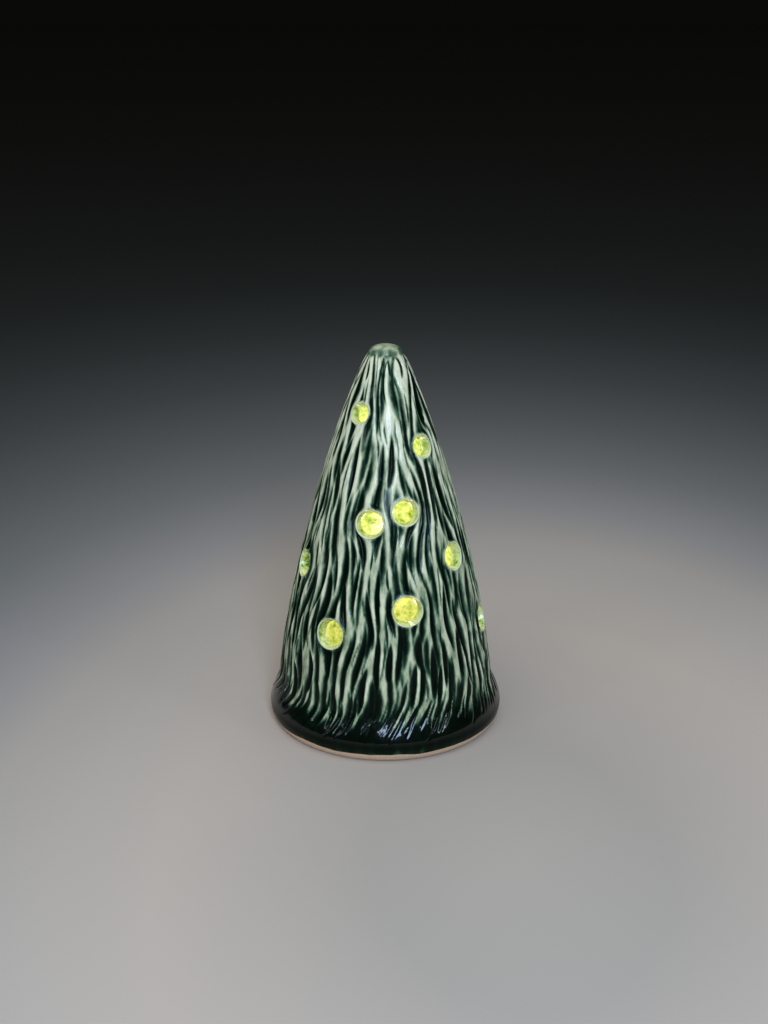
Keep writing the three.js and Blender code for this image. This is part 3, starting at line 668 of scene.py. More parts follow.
@dataclass(frozen=True)
class Outline:
    """The uncarved outside and the hollow of the tree, as radius by height in millimetres.

    The outside climbs from the foot over a round rim and in to a waist, then up a slightly bulging
    cone to a domed crown. Swell and taper are the powers that shape the bulge. From the shoulder
    up, the hollow closes in a straight cone.
    """

    height: float = 168.0
    foot_radius: float = 47.0
    foot_width: float = 5.0
    rim_radius: float = 51.5
    rim_height: float = 7.0
    waist_radius: float = 47.0
    waist_height: float = 22.0
    crown_radius: float = 7.2
    crown_rise: float = 3.5
    swell: float = 1.3
    taper: float = 0.85
    wall: float = 5.0
    tip_thickness: float = 11.0
    shoulder: float = 143.5

    @property
    def cone_top(self) -> float:
        """Height at which the crown starts."""
        return self.height - self.crown_rise

    @property
    def hollow_top(self) -> float:
        """Height of the hollow's top."""
        return self.height - self.tip_thickness

    def radius(self, z: Array | float) -> Array:
        """Radius of the outside at a height.

        Args:
            z: One height or an array of them.

        Returns:
            The radius, or an array of radii.
        """
        z = np.asarray(z, float)
        below = np.clip((self.rim_height - z) / self.rim_height, 0, 1)
        foot = self.foot_radius + (self.rim_radius - self.foot_radius) * np.sqrt(1 - below**2)
        flare = 1 - smoothstep(z, self.rim_height, self.waist_height)
        skirt = self.waist_radius + (self.rim_radius - self.waist_radius) * flare
        climb = np.clip((z - self.waist_height) / (self.cone_top - self.waist_height), 0, 1)
        share = (1 - climb**self.swell) ** self.taper
        cone = self.crown_radius + (self.waist_radius - self.crown_radius) * share
        rise = np.clip((z - self.cone_top) / self.crown_rise, 0, 1)
        crown = self.crown_radius * np.sqrt(1 - rise**2)
        below_tops = [z <= self.rim_height, z <= self.waist_height, z <= self.cone_top]
        return np.select(below_tops, [foot, skirt, cone], crown)

    def lean(self, z: Array | float) -> Array:
        """Angle above level of the outward normal at a height, in radians."""
        z = np.asarray(z, float)
        return np.arctan2(self.radius(z - 1) - self.radius(z + 1), 2.0)

    def hollow_radius(self, z: Array | float) -> Array:
        """Radius of the hollow at a height, with a straight cone at its top.

        Args:
            z: One height or an array of them.

        Returns:
            The radius, or an array of radii.
        """
        z = np.asarray(z, float)
        foot = self.foot_radius - self.foot_width
        waist = self.waist_radius - self.wall
        skirt = foot + (waist - foot) * smoothstep(z, 0, self.waist_height)
        side = self.radius(z) - self.wall
        shoulder = float(self.radius(self.shoulder)) - self.wall
        tip = shoulder * (self.hollow_top - z) / (self.hollow_top - self.shoulder)
        return np.select([z < self.waist_height, z < self.shoulder], [skirt, side], tip)


@dataclass(frozen=True)
class HoleFrame:
    """A light hole's place on the outside: its middle, and sideways, up and outward directions."""

    middle: Array
    across: Array
    along: Array
    out: Array

    @classmethod
    def of(cls, hole: LightHole, outline: Outline) -> "HoleFrame":
        """The frame of a hole whose axis is square to the side of the tree.

        Args:
            hole: The hole.
            outline: The outside that it is cut in.

        Returns:
            Its place.
        """
        z = hole.rise * outline.height
        turn, lean = math.radians(hole.turn), float(outline.lean(z))
        level = np.array([math.sin(turn), -math.cos(turn), 0.0])
        up = np.array([0.0, 0.0, 1.0])
        across = np.array([math.cos(turn), math.sin(turn), 0.0])
        out = math.cos(lean) * level + math.sin(lean) * up
        return cls(float(outline.radius(z)) * level + z * up, across, np.cross(out, across), out)

    def seen(self, points: Array) -> tuple[Array, Array, Array]:
        """Sideways, upward and outward distances of points from the middle."""
        local = points - self.middle
        return local @ self.across, local @ self.along, local @ self.out

    def flat(self, turns: Array, radius: float) -> Array:
        """Points on a circle in the hole's own plane."""
        x, y = radius * np.cos(turns), radius * np.sin(turns)
        return self.middle + x[:, None] * self.across + y[:, None] * self.along

    def reach(self, turns: Array, radius: float, surface: Callable[[Array], Array]) -> Array:
        """How far outward the tree's surface lies from the hole's plane, on a circle.

        It is found in small steps, each a little short of what is missing, so that it settles.

        Args:
            turns: Angles round the hole.
            radius: Radius of the circle.
            surface: Radius of the surface by height.

        Returns:
            A distance along the hole's axis for each angle.
        """
        flat = self.flat(turns, radius)
        off = np.zeros(len(turns))
        level = float(np.hypot(self.out[0], self.out[1]))
        for _ in range(30):
            at = flat + off[:, None] * self.out
            off -= 0.8 * level * (np.hypot(at[:, 0], at[:, 1]) - surface(at[:, 2]))
        return off


@dataclass
class Skin:
    """One side of the tree's wall: rings of points, joined by strips of triangles.

    Attributes:
        rings: The points of each ring, in order.
        glaze: Glaze thickness at them.
        levels: Depth of the carving at them, which chooses the diagonals.
        near: How far off a hole's plane a point may lie and still be at the hole, not across.
    """

    rings: list[Array]
    glaze: list[Array]
    levels: list[Array] | None = None
    near: float = 9.0

    def __post_init__(self) -> None:
        """Numbers the points and joins the rings."""
        starts = np.cumsum([0] + [len(ring) for ring in self.rings])
        numbers = [np.arange(a, b) for a, b in zip(starts[:-1], starts[1:])]
        pairs = zip(numbers[:-1], numbers[1:])
        if self.levels is None:
            strips = [strip(low, high) for low, high in pairs]
        else:
            sides = zip(pairs, self.levels[:-1], self.levels[1:])
            strips = [strip(low, high, a, b) for (low, high), a, b in sides]
        self.points = np.concatenate(self.rings)
        self.values = np.concatenate(self.glaze)
        self.corners = np.concatenate(strips)
        self.first_ring, self.last_ring = numbers[0], numbers[-1]

    def open(self, frame_: HoleFrame, edge: float,
             surface: Callable[[Array], Array]) -> tuple[Array, Array]:
        """Opens the skin for a hole and draws the edge of the opening onto a circle.

        Args:
            frame_: The hole's place.
            edge: Radius of the opening.
            surface: Radius of the uncarved surface by height.

        Returns:
            The point numbers round the opening and their angles, in order.
        """
        x, y, off = frame_.seen(self.points)
        gone = (np.hypot(x, y) < edge) & (np.abs(off) < self.near)
        dropped = gone[self.corners].any(1)
        fringe = np.intersect1d(self.corners[dropped], self.corners[~dropped])
        turns = np.arctan2(y[fringe], x[fringe])
        order = np.argsort(turns)
        fringe, turns = fringe[order], turns[order]
        height = frame_.reach(turns, edge, surface)
        self.points[fringe] = frame_.flat(turns, edge) + height[:, None] * frame_.out
        self.corners = self.corners[~dropped]
        return fringe, turns


@dataclass(frozen=True)
class Stroke:
    """One pull of the loop tool, in the carver's own straight layout.

    Attributes:
        turn: Angle of its middle, in radians.
        low: Height of its lower end, in millimetres.
        high: Height of its upper end.
        width: Half of its width.
        depth: Its depth.
        slant: Sideways run for each millimetre of climb.
        bend: How far its ends stray from straight.
        pooling: How much more glaze lies in it than in a wide gouge of its depth.
    """

    turn: float
    low: float
    high: float
    width: float
    depth: float
    slant: float
    bend: float
    pooling: float

    @property
    def pool_shift_for_painted_shade(self) -> float:
        """Where the glaze lies deepest, as a share of the half width from the middle. Set off the
        middle, it makes one flank of the gouge darker than the other: painted shade, as of light
        falling across the gouge from one side.
        """
        return 0.4 * self.bend + 1.2 * self.slant


class SteadyHand:
    """Even numbers between two limits, the same ones each time for a seed."""

    def __init__(self, seed: int) -> None:
        """Starts from a seed."""
        self.state = seed

    def __call__(self, low: float, high: float) -> float:
        """The next number."""
        self.state = self.state * 48271 % 2147483647
        return low + (high - low) * self.state / 2147483647


@dataclass(frozen=True)
class Course:
    """One course of gouges round the tree, or of the fine cuts between them.

    Attributes:
        rise: Share of the tree's height that it is centred on.
        pitch: Distance from one gouge to the next, in millimetres.
        reach: Half of a gouge's length.
        width: Half of its width.
        depth: Its depth.
        stagger: How far its gouges stand above or below the middle.
        lowest: Height that its gouges run down to.
        pooling: How much more glaze lies in them than in a wide gouge of their depth.
    """

    rise: float
    pitch: float
    reach: float
    width: float
    depth: float
    stagger: float = 9.0
    lowest: float = 10.0
    pooling: float = 1.0


@dataclass
class Carving:
    """The gouged pattern and the glaze over it, on a grid of rows by columns of the outside.

    Lengths are in millimetres.

    Attributes:
        outline: The uncarved outside.
        holes: The light holes that the gouges part round.
        columns: Points in a ring.
        row_step: Climb from one ring to the next.
        narrowest: Radius below which the pattern no longer narrows with the cone.
        collar: Width round a hole's mouth that the gouges part from.
        parting: How strongly they part there.
        lip: Rounding of a hole's mouth.
        sway: How far the gouges wander sideways.
        sway_height: Height of one wave of that.
        sweep: How strongly they sweep aside on the skirt.
        sweep_top: Height below which they do.
        shallowest: Depth up to which the glaze fills a gouge.
        filled_depth: What then shows of its depth.
        trough_roundness: Power of a gouge's cross section: 1 is a plain V, and 2 a bowl.
        pool_roundness: The same for the glaze that pools in it.
        seed: Seed of the strokes.
        pinhole: Degrees from the front and height of a dark pinhole in the cap's glaze.
        courses: The gouges, from the crown down.
        fine_courses: The fine cuts between them.
    """

    outline: Outline
    holes: Sequence[LightHole]
    columns: int = 576
    row_step: float = 0.55
    narrowest: float = 4.0
    collar: float = 0.8
    parting: float = 0.35
    lip: float = 0.5
    sway: float = 1.1
    sway_height: float = 71.0
    sweep: float = 0.028
    sweep_top: float = 27.0
    shallowest: float = 1.0
    filled_depth: float = 0.35
    trough_roundness: float = 1.4
    pool_roundness: float = 1.2
    seed: int = 20
    pinhole: tuple[float, float] = (-12.0, 166.0)
    courses: tuple[Course, ...] = (
        Course(0.869, 3.9, 18.0, 1.9, 1.0, pooling=2.1),
        Course(0.750, 4.0, 15.0, 1.9, 1.2, pooling=1.9),
        Course(0.631, 4.0, 15.0, 2.0, 1.35, pooling=1.33),
        Course(0.512, 4.1, 15.0, 2.05, 1.45, pooling=1.33),
        *(Course(rise, 4.2, 15.0, 2.1, 1.55, pooling=1.33) for rise in (0.393, 0.274)),
        Course(0.167, 4.2, 14.0, 2.0, 1.4, pooling=1.33),
    )
    fine_courses: tuple[Course, ...] = (
        Course(0.935, 2.7, 9.0, 0.75, 0.4, pooling=4.5),
        Course(0.840, 3.4, 9.0, 0.75, 0.4, pooling=3.0),
        Course(0.740, 3.8, 9.0, 0.80, 0.4, pooling=2.5),
        *(Course(rise, 4.0, 9.0, 0.85, 0.42, pooling=2.6) for rise in (0.64, 0.54, 0.44, 0.34)),
        Course(0.240, 4.0, 8.0, 0.85, 0.42, pooling=2.6),
        Course(0.140, 4.0, 7.0, 0.85, 0.4, pooling=2.5),
        Course(0.115, 5.2, 10.0, 1.5, 0.7, 4.0, 9.0, 2.3),
        Course(0.100, 6.0, 8.0, 0.8, 0.4, 4.0, 9.0, 3.0),
    )

    def __post_init__(self) -> None:
        """Lays out the grid and carves it."""
        o = self.outline
        rim = o.rim_height * (1 - np.cos(np.linspace(0, math.pi / 2, 14)[1:-1]))
        side = np.arange(o.rim_height, o.cone_top, self.row_step)
        crown = o.cone_top + o.crown_rise * np.sin(np.linspace(0, math.pi / 2, 9)[:-1])
        self.z = np.concatenate([rim, side, crown])
        self.r = o.radius(self.z)
        self.turns = np.arange(self.columns) * 2 * math.pi / self.columns
        self.wide_turns, self.wide_z = np.meshgrid(self.turns, self.z)
        self.offsets = [self.hole_offsets(hole) for hole in self.holes]
        self.ragged_z = self.wide_z + self.lifted_short()
        self.depth, self.pool = self.carve()
        self.glaze = self.glaze_thickness()

    def hole_offsets(self, hole: LightHole) -> tuple[Array, Array]:
        """Measures the grid from a hole's middle, along the surface.

        Args:
            hole: The hole.

        Returns:
            Sideways and upward distances.
        """
        middle = hole.rise * self.outline.height
        around = (self.wide_turns - math.radians(hole.turn) + math.pi) % (2 * math.pi) - math.pi
        along = (self.wide_z - middle) / math.cos(float(self.outline.lean(middle)))
        return around * self.outline.radius(self.wide_z), along

    def lifted_short(self) -> Array:
        """How far the gouges stop short of the crown, as each is lifted out by hand."""
        return 0.7 * np.sin(5 * self.wide_turns + 0.8) + 0.5 * np.sin(13 * self.wide_turns)

    def layout(self) -> Array:
        """The angle that each place of the grid has in the carver's straight layout.

        On the tree the gouges part round every hole, sway a little, and sweep to one side where
        they run out over the skirt.

        Returns:
            Angles in radians, on the grid.
        """
        turns, z = self.wide_turns, self.wide_z
        wave = 2 * math.pi * z / self.sway_height
        swing = np.sin(wave + 3 * turns) + 0.45 * np.sin(1.9 * wave - 5 * turns + 1.3)
        shift = self.sway * swing + self.sweep * np.clip(self.sweep_top - z, 0, None) ** 2
        for hole, (across, along) in zip(self.holes, self.offsets):
            reach = hole.size / 2 + self.collar
            distance = np.maximum(np.hypot(across, along), reach)
            fade = 1 - smoothstep(distance, 1.3 * reach, 3.0 * reach)
            shift -= self.parting * across * (reach / distance) ** 2 * fade
        return turns + shift / np.maximum(self.r[:, None], self.narrowest)

    def strokes(self) -> Iterator[Stroke]:
        """The gouge strokes, course by course from the crown down, then the fine cuts.

        Each pull of the tool differs a little from the last, by the limits given to the hand.

        Yields:
            One stroke after another.
        """
        hand, tree, top = SteadyHand(self.seed), self.outline.height, self.outline.cone_top
        for number, course in enumerate((*self.courses, *self.fine_courses)):
            middle = course.rise * tree
            around = 2 * math.pi * float(self.outline.radius(middle))
            count = round(around / course.pitch)
            for i in range(count):
                turn = 2 * math.pi * (i + 0.618 * number + hand(-0.3, 0.3)) / count
                height = middle + hand(-course.stagger, course.stagger)
                half = course.reach * hand(0.65, 1.3)
                yield Stroke(
                    turn,
                    max(height - half, course.lowest + hand(-1.5, 4.5)),
                    min(height + half, top - 0.9 + hand(-2.5, 0.2)),
                    course.width * hand(0.7, 1.25),
                    course.depth * hand(0.6, 1.2),
                    hand(-0.12, 0.12),
                    hand(-1.2, 1.2),
                    course.pooling,
                )

    def carve(self) -> tuple[Array, Array]:
        """Cuts every stroke into the grid.

        Returns:
            Depth that the strokes take off at each place, and depth of the glaze in them.
        """
        layout, top = self.layout(), self.outline.cone_top
        depth, pool = np.zeros_like(layout), np.zeros_like(layout)
        step = 2 * math.pi / self.columns
        for stroke in self.strokes():
            under_crown = stroke.high > top - 4.0
            end = top + 0.5 if under_crown else stroke.high
            rows = np.nonzero((self.z > stroke.low) & (self.z < end))[0]
            if len(rows) < 5:
                continue
            half, middle = (stroke.high - stroke.low) / 2, (stroke.high + stroke.low) / 2
            along = (self.z[rows] - middle) / half
            radius = np.maximum(self.r[rows], self.narrowest)
            # The block of columns is wide enough for what the layout shifts a gouge by.
            reach = (stroke.width + 13.0) / radius.min()
            first = int((stroke.turn - reach) / step)
            wide = min(self.columns, int(2 * reach / step) + 1)
            block = np.ix_(rows, np.arange(first, first + wide) % self.columns)
            stray = stroke.slant * along * half + stroke.bend * (along**2 - 0.3)
            off = layout[block] - (stroke.turn + stray / radius)[:, None]
            off = ((off + math.pi) % (2 * math.pi) - math.pi) * radius[:, None]
            # A gouge runs out to a point at its ends, but more bluntly where it meets the crown.
            ends = np.where(under_crown & (along > 0), 0.6 * along, along)
            taper = np.clip(1 - np.abs(ends) ** 2.2, 0, 1)
            narrow = (radius / float(self.outline.radius(middle))) ** 0.8
            width = stroke.width * (0.2 + 0.8 * taper) * np.minimum(narrow, 1.15)
            across = off / width[:, None]
            full = stroke.depth * taper[:, None]
            trough = full * np.clip(1 - np.abs(across) ** self.trough_roundness, 0, 1)
            if stroke.depth <= self.shallowest:
                trough = np.minimum(trough, self.filled_depth)
            depth[block] = np.maximum(depth[block], trough)
            # The glaze is pooled off the middle of the gouge, so one flank is darker: painted shade.
            lean = across - stroke.pool_shift_for_painted_shade
            lean /= 1 - np.sign(lean) * stroke.pool_shift_for_painted_shade
            filled = full * np.clip(1 - np.abs(lean) ** self.pool_roundness, 0, 1)
            pool[block] = np.maximum(pool[block], stroke.pooling * filled)
        bare = 1 - smoothstep(self.ragged_z, top - 1.1, top + 0.1)
        for hole, (across, along) in zip(self.holes, self.offsets):
            edge = hole.size / 2 + self.lip
            bare *= smoothstep(np.hypot(across, along), edge - 0.2, edge + 1.2)
        return depth * bare, pool * bare

    def softened(self, values: Array, width: float) -> Array:
        """Blurs values on the grid, as glaze rounds what it covers.

        Args:
            values: The values.
            width: Width of the blur in millimetres.

        Returns:
            The blurred values.
        """
        waves = np.fft.rfft(values, axis=1)
        number = np.arange(waves.shape[1])[None, :]
        radius = np.maximum(self.r, 2.0)[:, None]
        waves *= np.exp(-0.5 * (number * width / radius) ** 2)
        level = np.fft.irfft(waves, self.columns, axis=1)
        spread = max(1, round(3 * width / self.row_step))
        weights = np.exp(-0.5 * (np.arange(-spread, spread + 1) * self.row_step / width) ** 2)
        weights /= weights.sum()
        padded = np.pad(level, ((spread, spread), (0, 0)), mode="edge")
        return sum(w * padded[i : i + len(values)] for i, w in enumerate(weights))

    def glaze_thickness(self) -> Array:
        """Lets the glaze run over the carving. Its thickness also carries painted shade on one flank
        of each gouge and a painted highlight on the tip of the cap.

        Returns:
            Its thickness on the grid, from 0, broken thin over an edge, to 1, pooled.
        """
        turns, z, top = self.wide_turns, self.wide_z, self.outline.cone_top
        near, far = self.softened(self.pool, 0.16), self.softened(self.pool, 1.5)
        # Thin on the ridges, deep in the gouges, and deeper the lower down, as it ran in the kiln.
        thick = 0.24 + 0.30 * near + 0.34 * (near - far) + 0.20 * (1 - z / 105)
        # It pools over the skirt and the rim, up to a ragged line, and leaves the crests there bare.
        ragged = z + 1.6 * np.sin(7 * turns) + 1.2 * np.sin(17 * turns)
        crest = smoothstep(far - near, 0.15, 0.5)
        skirt = (1 - smoothstep(ragged, 12.0, 24.0)) * (1 - 0.8 * crest)
        rim = 1 - smoothstep(ragged, 8.0, 13.0)
        thick += np.maximum(skirt, rim) * (0.98 - thick)
        # The sponge that wiped the foot also thinned it just above.
        thick -= 0.32 * (1 - smoothstep(z, 3.5, 8.5))
        # The cap is even and green, with a darker line where it meets the cone. Its tip is drawn
        # paler as a painted highlight, where the light falls on the top of the dome.
        crown = smoothstep(self.ragged_z, top - 1.6, top + 0.4)
        thick += crown * (0.42 - 0.18 * smoothstep(z, top + 1.7, top + 2.9) - thick)
        thick += 0.06 * np.exp(-(((z - top) / 0.6) ** 2))
        turn, height = self.pinhole
        aside = (turns - math.radians(turn)) * self.r[:, None]
        thick += 0.7 * np.exp(-((aside / 0.6) ** 2) - ((z - height) / 0.6) ** 2)
        # It breaks thin over the edge of each hole.
        for hole, (across, along) in zip(self.holes, self.offsets):
            edge = hole.size / 2 + self.lip
            ring = 1 - smoothstep(np.hypot(across, along), edge, edge + 0.4)
            thick += 0.8 * ring * (0.38 - thick)
        return np.clip(thick, 0, 1)

    def skin(self, crowded_radius: float = 25.0) -> Skin:
        """Shapes the outside from the foot to the tip, with half the columns where it is narrow.

        Args:
            crowded_radius: Radius down to which a ring keeps all its columns.

        Returns:
            The outside.
        """
        depth = self.softened(self.depth, 0.2)
        lean = self.outline.lean(self.z)
        rings, glaze, levels = [], [], []
        for i, z in enumerate(self.z):
            every = 1 if self.r[i] > crowded_radius or z < self.outline.waist_height else 2
            turns, cut = self.turns[::every], depth[i, ::every]
            radius = self.r[i] - cut * math.cos(lean[i])
            height = z - cut * math.sin(lean[i])
            rings.append(np.stack([radius * np.sin(turns), -radius * np.cos(turns), height], 1))
            glaze.append(self.glaze[i, ::every])
            levels.append(cut)
        rings.append(np.array([[0.0, 0.0, self.outline.height]]))
        glaze.append(np.array([0.22]))
        levels.append(np.zeros(1))
        return Skin(rings, glaze, levels)


def ring_at(radius: float, z: float, count: int) -> Array:
    """A level ring of points round the tree's axis, starting at the front."""
    turns = np.arange(count) * 2 * math.pi / count
    return np.stack([radius * np.sin(turns), -radius * np.cos(turns), np.full(count, z)], 1)


@dataclass
class CarvedTree:
    """The clay tree: its carved and glazed outside, hollow, light holes and bare foot.

    Attributes:
        outline: Its uncarved outside and its hollow.
        holes: Its light holes, those in front first and then those behind.
        hole_taper: Share by which a hole narrows through the wall.
        inner_lip: Rounding of a hole's inner edge.
        bore_sides: Points round a hole.
        hollow_columns: Points round the hollow.
        hollow_step: Height from one ring of the hollow to the next.
        throwing_depth: Depth of the rings that throwing left in the hollow.
        throwing_pace: Radians of their wave for each millimetre of height.
        foot_edge: Rounding of the foot's inner edge, as distance outward and height.
        foot_inset: Distance between the last two rings under the foot.
        rounded_rings: Rings of a hole's mouth that belong to the outside.
        lip_glaze: Glaze thickness on them.
        bore_glaze: Glaze thickness from there inwards.
    """

    outline: Outline = field(default_factory=Outline)
    holes: tuple[LightHole, ...] = tuple(LightHole(*place) for place in (
        (-39, 0.845, 8.5), (44.5, 0.765, 9.4), (16.5, 0.618, 10.8), (-12, 0.592, 11.4),
        (54, 0.488, 11.4), (-70, 0.452, 11.2), (13.5, 0.382, 12.4), (-33.5, 0.312, 12.4),
        (78, 0.292, 12), (128, 0.827, 8.6), (177, 0.726, 9.4), (-112, 0.702, 10),
        (102, 0.643, 10.8), (-150, 0.548, 11.4), (138, 0.500, 11.6), (114, 0.345, 12.2),
        (-172, 0.310, 12.4), (-114, 0.274, 12.4),
    ))
    hole_taper: float = 0.18
    inner_lip: float = 0.7
    bore_sides: int = 64
    hollow_columns: int = 144
    hollow_step: float = 1.6
    throwing_depth: float = 0.12
    throwing_pace: float = 1.1
    foot_edge: tuple[tuple[float, float], ...] = ((0.0, 0.8), (0.2, 0.25), (0.8, 0.0))
    foot_inset: float = 2.0
    rounded_rings: int = 4
    lip_glaze: float = 0.1
    bore_glaze: float = 0.3

    def hollow_skin(self) -> Skin:
        """Shapes the hollow from its top down to the inner edge of the foot, with throwing rings.

        Returns:
            The hollow.
        """
        o = self.outline
        heights = np.arange(o.hollow_top - 0.4, 1.2, -self.hollow_step)
        rings = [np.array([[0.0, 0.0, o.hollow_top]])]
        for z in heights:
            fade = min(1.0, (o.hollow_top - z) / 20)
            throwing = self.throwing_depth * math.sin(z * self.throwing_pace) * fade
            rings.append(ring_at(float(o.hollow_radius(z)) + throwing, z, self.hollow_columns))
        return Skin(rings, [np.zeros(len(ring)) for ring in rings])

    def bore(self, mesh: Mesh, hole: LightHole, lip: float, outer: tuple[Array, Array],
             inner: tuple[Array, Array]) -> None:
        """Adds a hole's rounded mouth, its tapered side and its inner edge.

        Args:
            mesh: The mesh to add to.
            hole: The hole.
            lip: Rounding of its mouth.
            outer: Point numbers and angles round the opening in the outside.
            inner: The same in the hollow.
        """
        place = HoleFrame.of(hole, self.outline)
        mouth = hole.size / 2
        throat = mouth * (1 - self.hole_taper)
        turns = (np.arange(self.bore_sides) + 0.5) * 2 * math.pi / self.bore_sides - math.pi
        # Rings of radius and distance outward: the rounded mouth, the tapered side, the inner edge.
        rings = []
        for angle in np.radians([15, 33, 52, 71, 90]):
            radius = mouth + lip * (1 - math.sin(angle))
            sunk = lip * (1 - math.cos(angle))
            rings.append((radius, place.reach(turns, radius, self.outline.radius) - sunk))
        start = rings[-1][1]
        end = place.reach(turns, throat, self.outline.hollow_radius) + self.inner_lip
        for share in np.linspace(0, 1, 8)[1:]:
            rings.append((mouth + (throat - mouth) * share, start + (end - start) * share))
        for angle in np.radians([30, 60]):
            radius = throat + self.inner_lip * (1 - math.cos(angle))
            sunk = self.inner_lip * (1 - math.sin(angle))
            rings.append((radius, place.reach(turns, radius, self.outline.hollow_radius) + sunk))
        numbers = []
        for k, (radius, off) in enumerate(rings):
            points = place.flat(turns, radius) + off[:, None] * place.out
            glaze = self.lip_glaze if k < self.rounded_rings else self.bore_glaze
            numbers.append(mesh.add_points(points, glaze))
        mesh.add_triangles(zipped(*outer, numbers[0], turns))
        for k, (low, high) in enumerate(zip(numbers[:-1], numbers[1:])):
            mesh.add_triangles(strip(low, high), 0 if k < self.rounded_rings else 1)
        mesh.add_triangles(zipped(numbers[-1], turns, *inner), 1)

    def build(self) -> bpy.types.Object:
        """Builds the tree as one closed mesh and dresses it.

        Returns:
            The tree.
        """
        o = self.outline
        carving = Carving(o, self.holes)
        outside, hollow = carving.skin(), self.hollow_skin()
        openings = []
        for hole in self.holes:
            place = HoleFrame.of(hole, o)
            throat = hole.size / 2 * (1 - self.hole_taper) + self.inner_lip
            outer = outside.open(place, hole.size / 2 + carving.lip, o.radius)
            openings.append((hole, outer, hollow.open(place, throat, o.hollow_radius)))
        mesh = Mesh()
        out_first = mesh.add_points(outside.points, outside.values)[0]
        mesh.add_triangles(outside.corners + out_first)
        in_first = mesh.add_points(hollow.points, 0.0)[0]
        mesh.add_triangles(hollow.corners + in_first, 1)
        ring = hollow.last_ring + in_first
        inside_foot = o.foot_radius - o.foot_width
        for outward, z in self.foot_edge:
            following = mesh.add_points(ring_at(inside_foot + outward, z, self.hollow_columns))
            mesh.add_triangles(strip(ring, following), 1)
            ring = following
        for inset, count in ((self.foot_inset, carving.columns // 2), (0.0, carving.columns)):
            following = mesh.add_points(ring_at(o.foot_radius - inset, 0.0, count))
            mesh.add_triangles(strip(ring, following))
            ring = following
        mesh.add_triangles(strip(ring, outside.first_ring + out_first))
        for hole, (outer, outer_turns), (inner, inner_turns) in openings:
            edges = (outer + out_first, outer_turns), (inner + in_first, inner_turns)
            self.bore(mesh, hole, carving.lip, *edges)
        made = mesh.build("carved_tree", [GLAZE, LINER], Body.TREE, "glazed_stoneware")
        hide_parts("tree_shell")
        return made


@dataclass(frozen=True)
class Turning:
    """A round piece of the tea light, turned about an upright axis from a closed outline.

    Attributes:
        name: Name of the piece.
        outline: Radius and height of each corner in millimetres, going up on the outer side.
        finish: Its finish.
        slot: The record's material slot.
        body: The body that it rides on.
        edge: Rounding of the corners.
        at: Place of the axis.
        sides: Points round it.
        replaces: The solids of the part whose look it takes over.
    """

    name: str
    outline: tuple[tuple[float, float], ...]
    finish: Finish
    slot: str
    body: Body = Body.TEALIGHT
    edge: float = 0.2
    at: tuple[float, float] = (0.0, 0.0)
    sides: int = 72
    replaces: tuple[str, ...] = ()

    def rounded(self) -> list[tuple[float, float]]:
        """Rounds every corner of the outline that is off the axis, by a curve of four points.

        Returns:
            Radius and height of each point.
        """
        count = len(self.outline)
        points: list[tuple[float, float]] = []
        for i, corner in enumerate(self.outline):
            here = np.array(corner)
            before, after = np.array(self.outline[i - 1]), np.array(self.outline[(i + 1) % count])
            if corner[0] <= ON_AXIS_MM:
                points.append(corner)
                continue
            back, ahead = before - here, after - here
            reach = min(self.edge, 0.45 * float(np.hypot(*back)), 0.45 * float(np.hypot(*ahead)))
            start = here + back / max(np.hypot(*back), 1e-9) * reach
            end = here + ahead / max(np.hypot(*ahead), 1e-9) * reach
            for share in (0.0, 0.33, 0.67, 1.0):
                curve = (1 - share) ** 2 * start + 2 * share * (1 - share) * here + share**2 * end
                points.append((float(curve[0]), float(curve[1])))
        return points

    def build(self) -> bpy.types.Object:
        """Builds and dresses the piece.

        Returns:
            The piece.
        """
        mesh = Mesh()
        rings = []
        for radius, z in self.rounded():
            ring = ring_at(radius, z, 1 if radius <= ON_AXIS_MM else self.sides)
            rings.append(mesh.add_points(ring + np.array([*self.at, 0.0])))
        closed = self.outline[0][0] > ON_AXIS_MM
        for low, high in zip(rings, rings[1:] + (rings[:1] if closed else [])):
            mesh.add_triangles(strip(low, high))
        made = mesh.build(self.name, [self.finish], self.body, self.slot)
        made.modifiers.new("soft_edges", "WEIGHTED_NORMAL").keep_sharp = True
        if self.replaces:
            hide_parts(*self.replaces)
        return made


@dataclass(frozen=True)
class Dressed:
    """A solid of the part that keeps its own mesh and is dressed with softened edges.

    Attributes:
        node: Name of the solid.
        finish: Its finish.
        slot: The record's material slot. Not used.
        edge: Width of the softened edge in millimetres.
        sharpest_degrees: Angle above which an edge is softened.
    """

    node: str
    finish: Finish
    slot: str
    edge: float = 0.12
    sharpest_degrees: float = 35.0

    def build(self) -> bpy.types.Object:
        """Dresses the solid.

        Returns:
            The solid.
        """
        solid = bpy.data.objects[self.node]
        solid.data.materials.clear()
        solid.data.materials.append(self.finish.material())
        bevel = solid.modifiers.new("moulded_edge", "BEVEL")
        bevel.width = self.edge * MM
        bevel.segments = 2
        bevel.limit_method = "ANGLE"
        bevel.angle_limit = math.radians(self.sharpest_degrees)
        LOG.info("%s: dressed", self.node)
        return solid


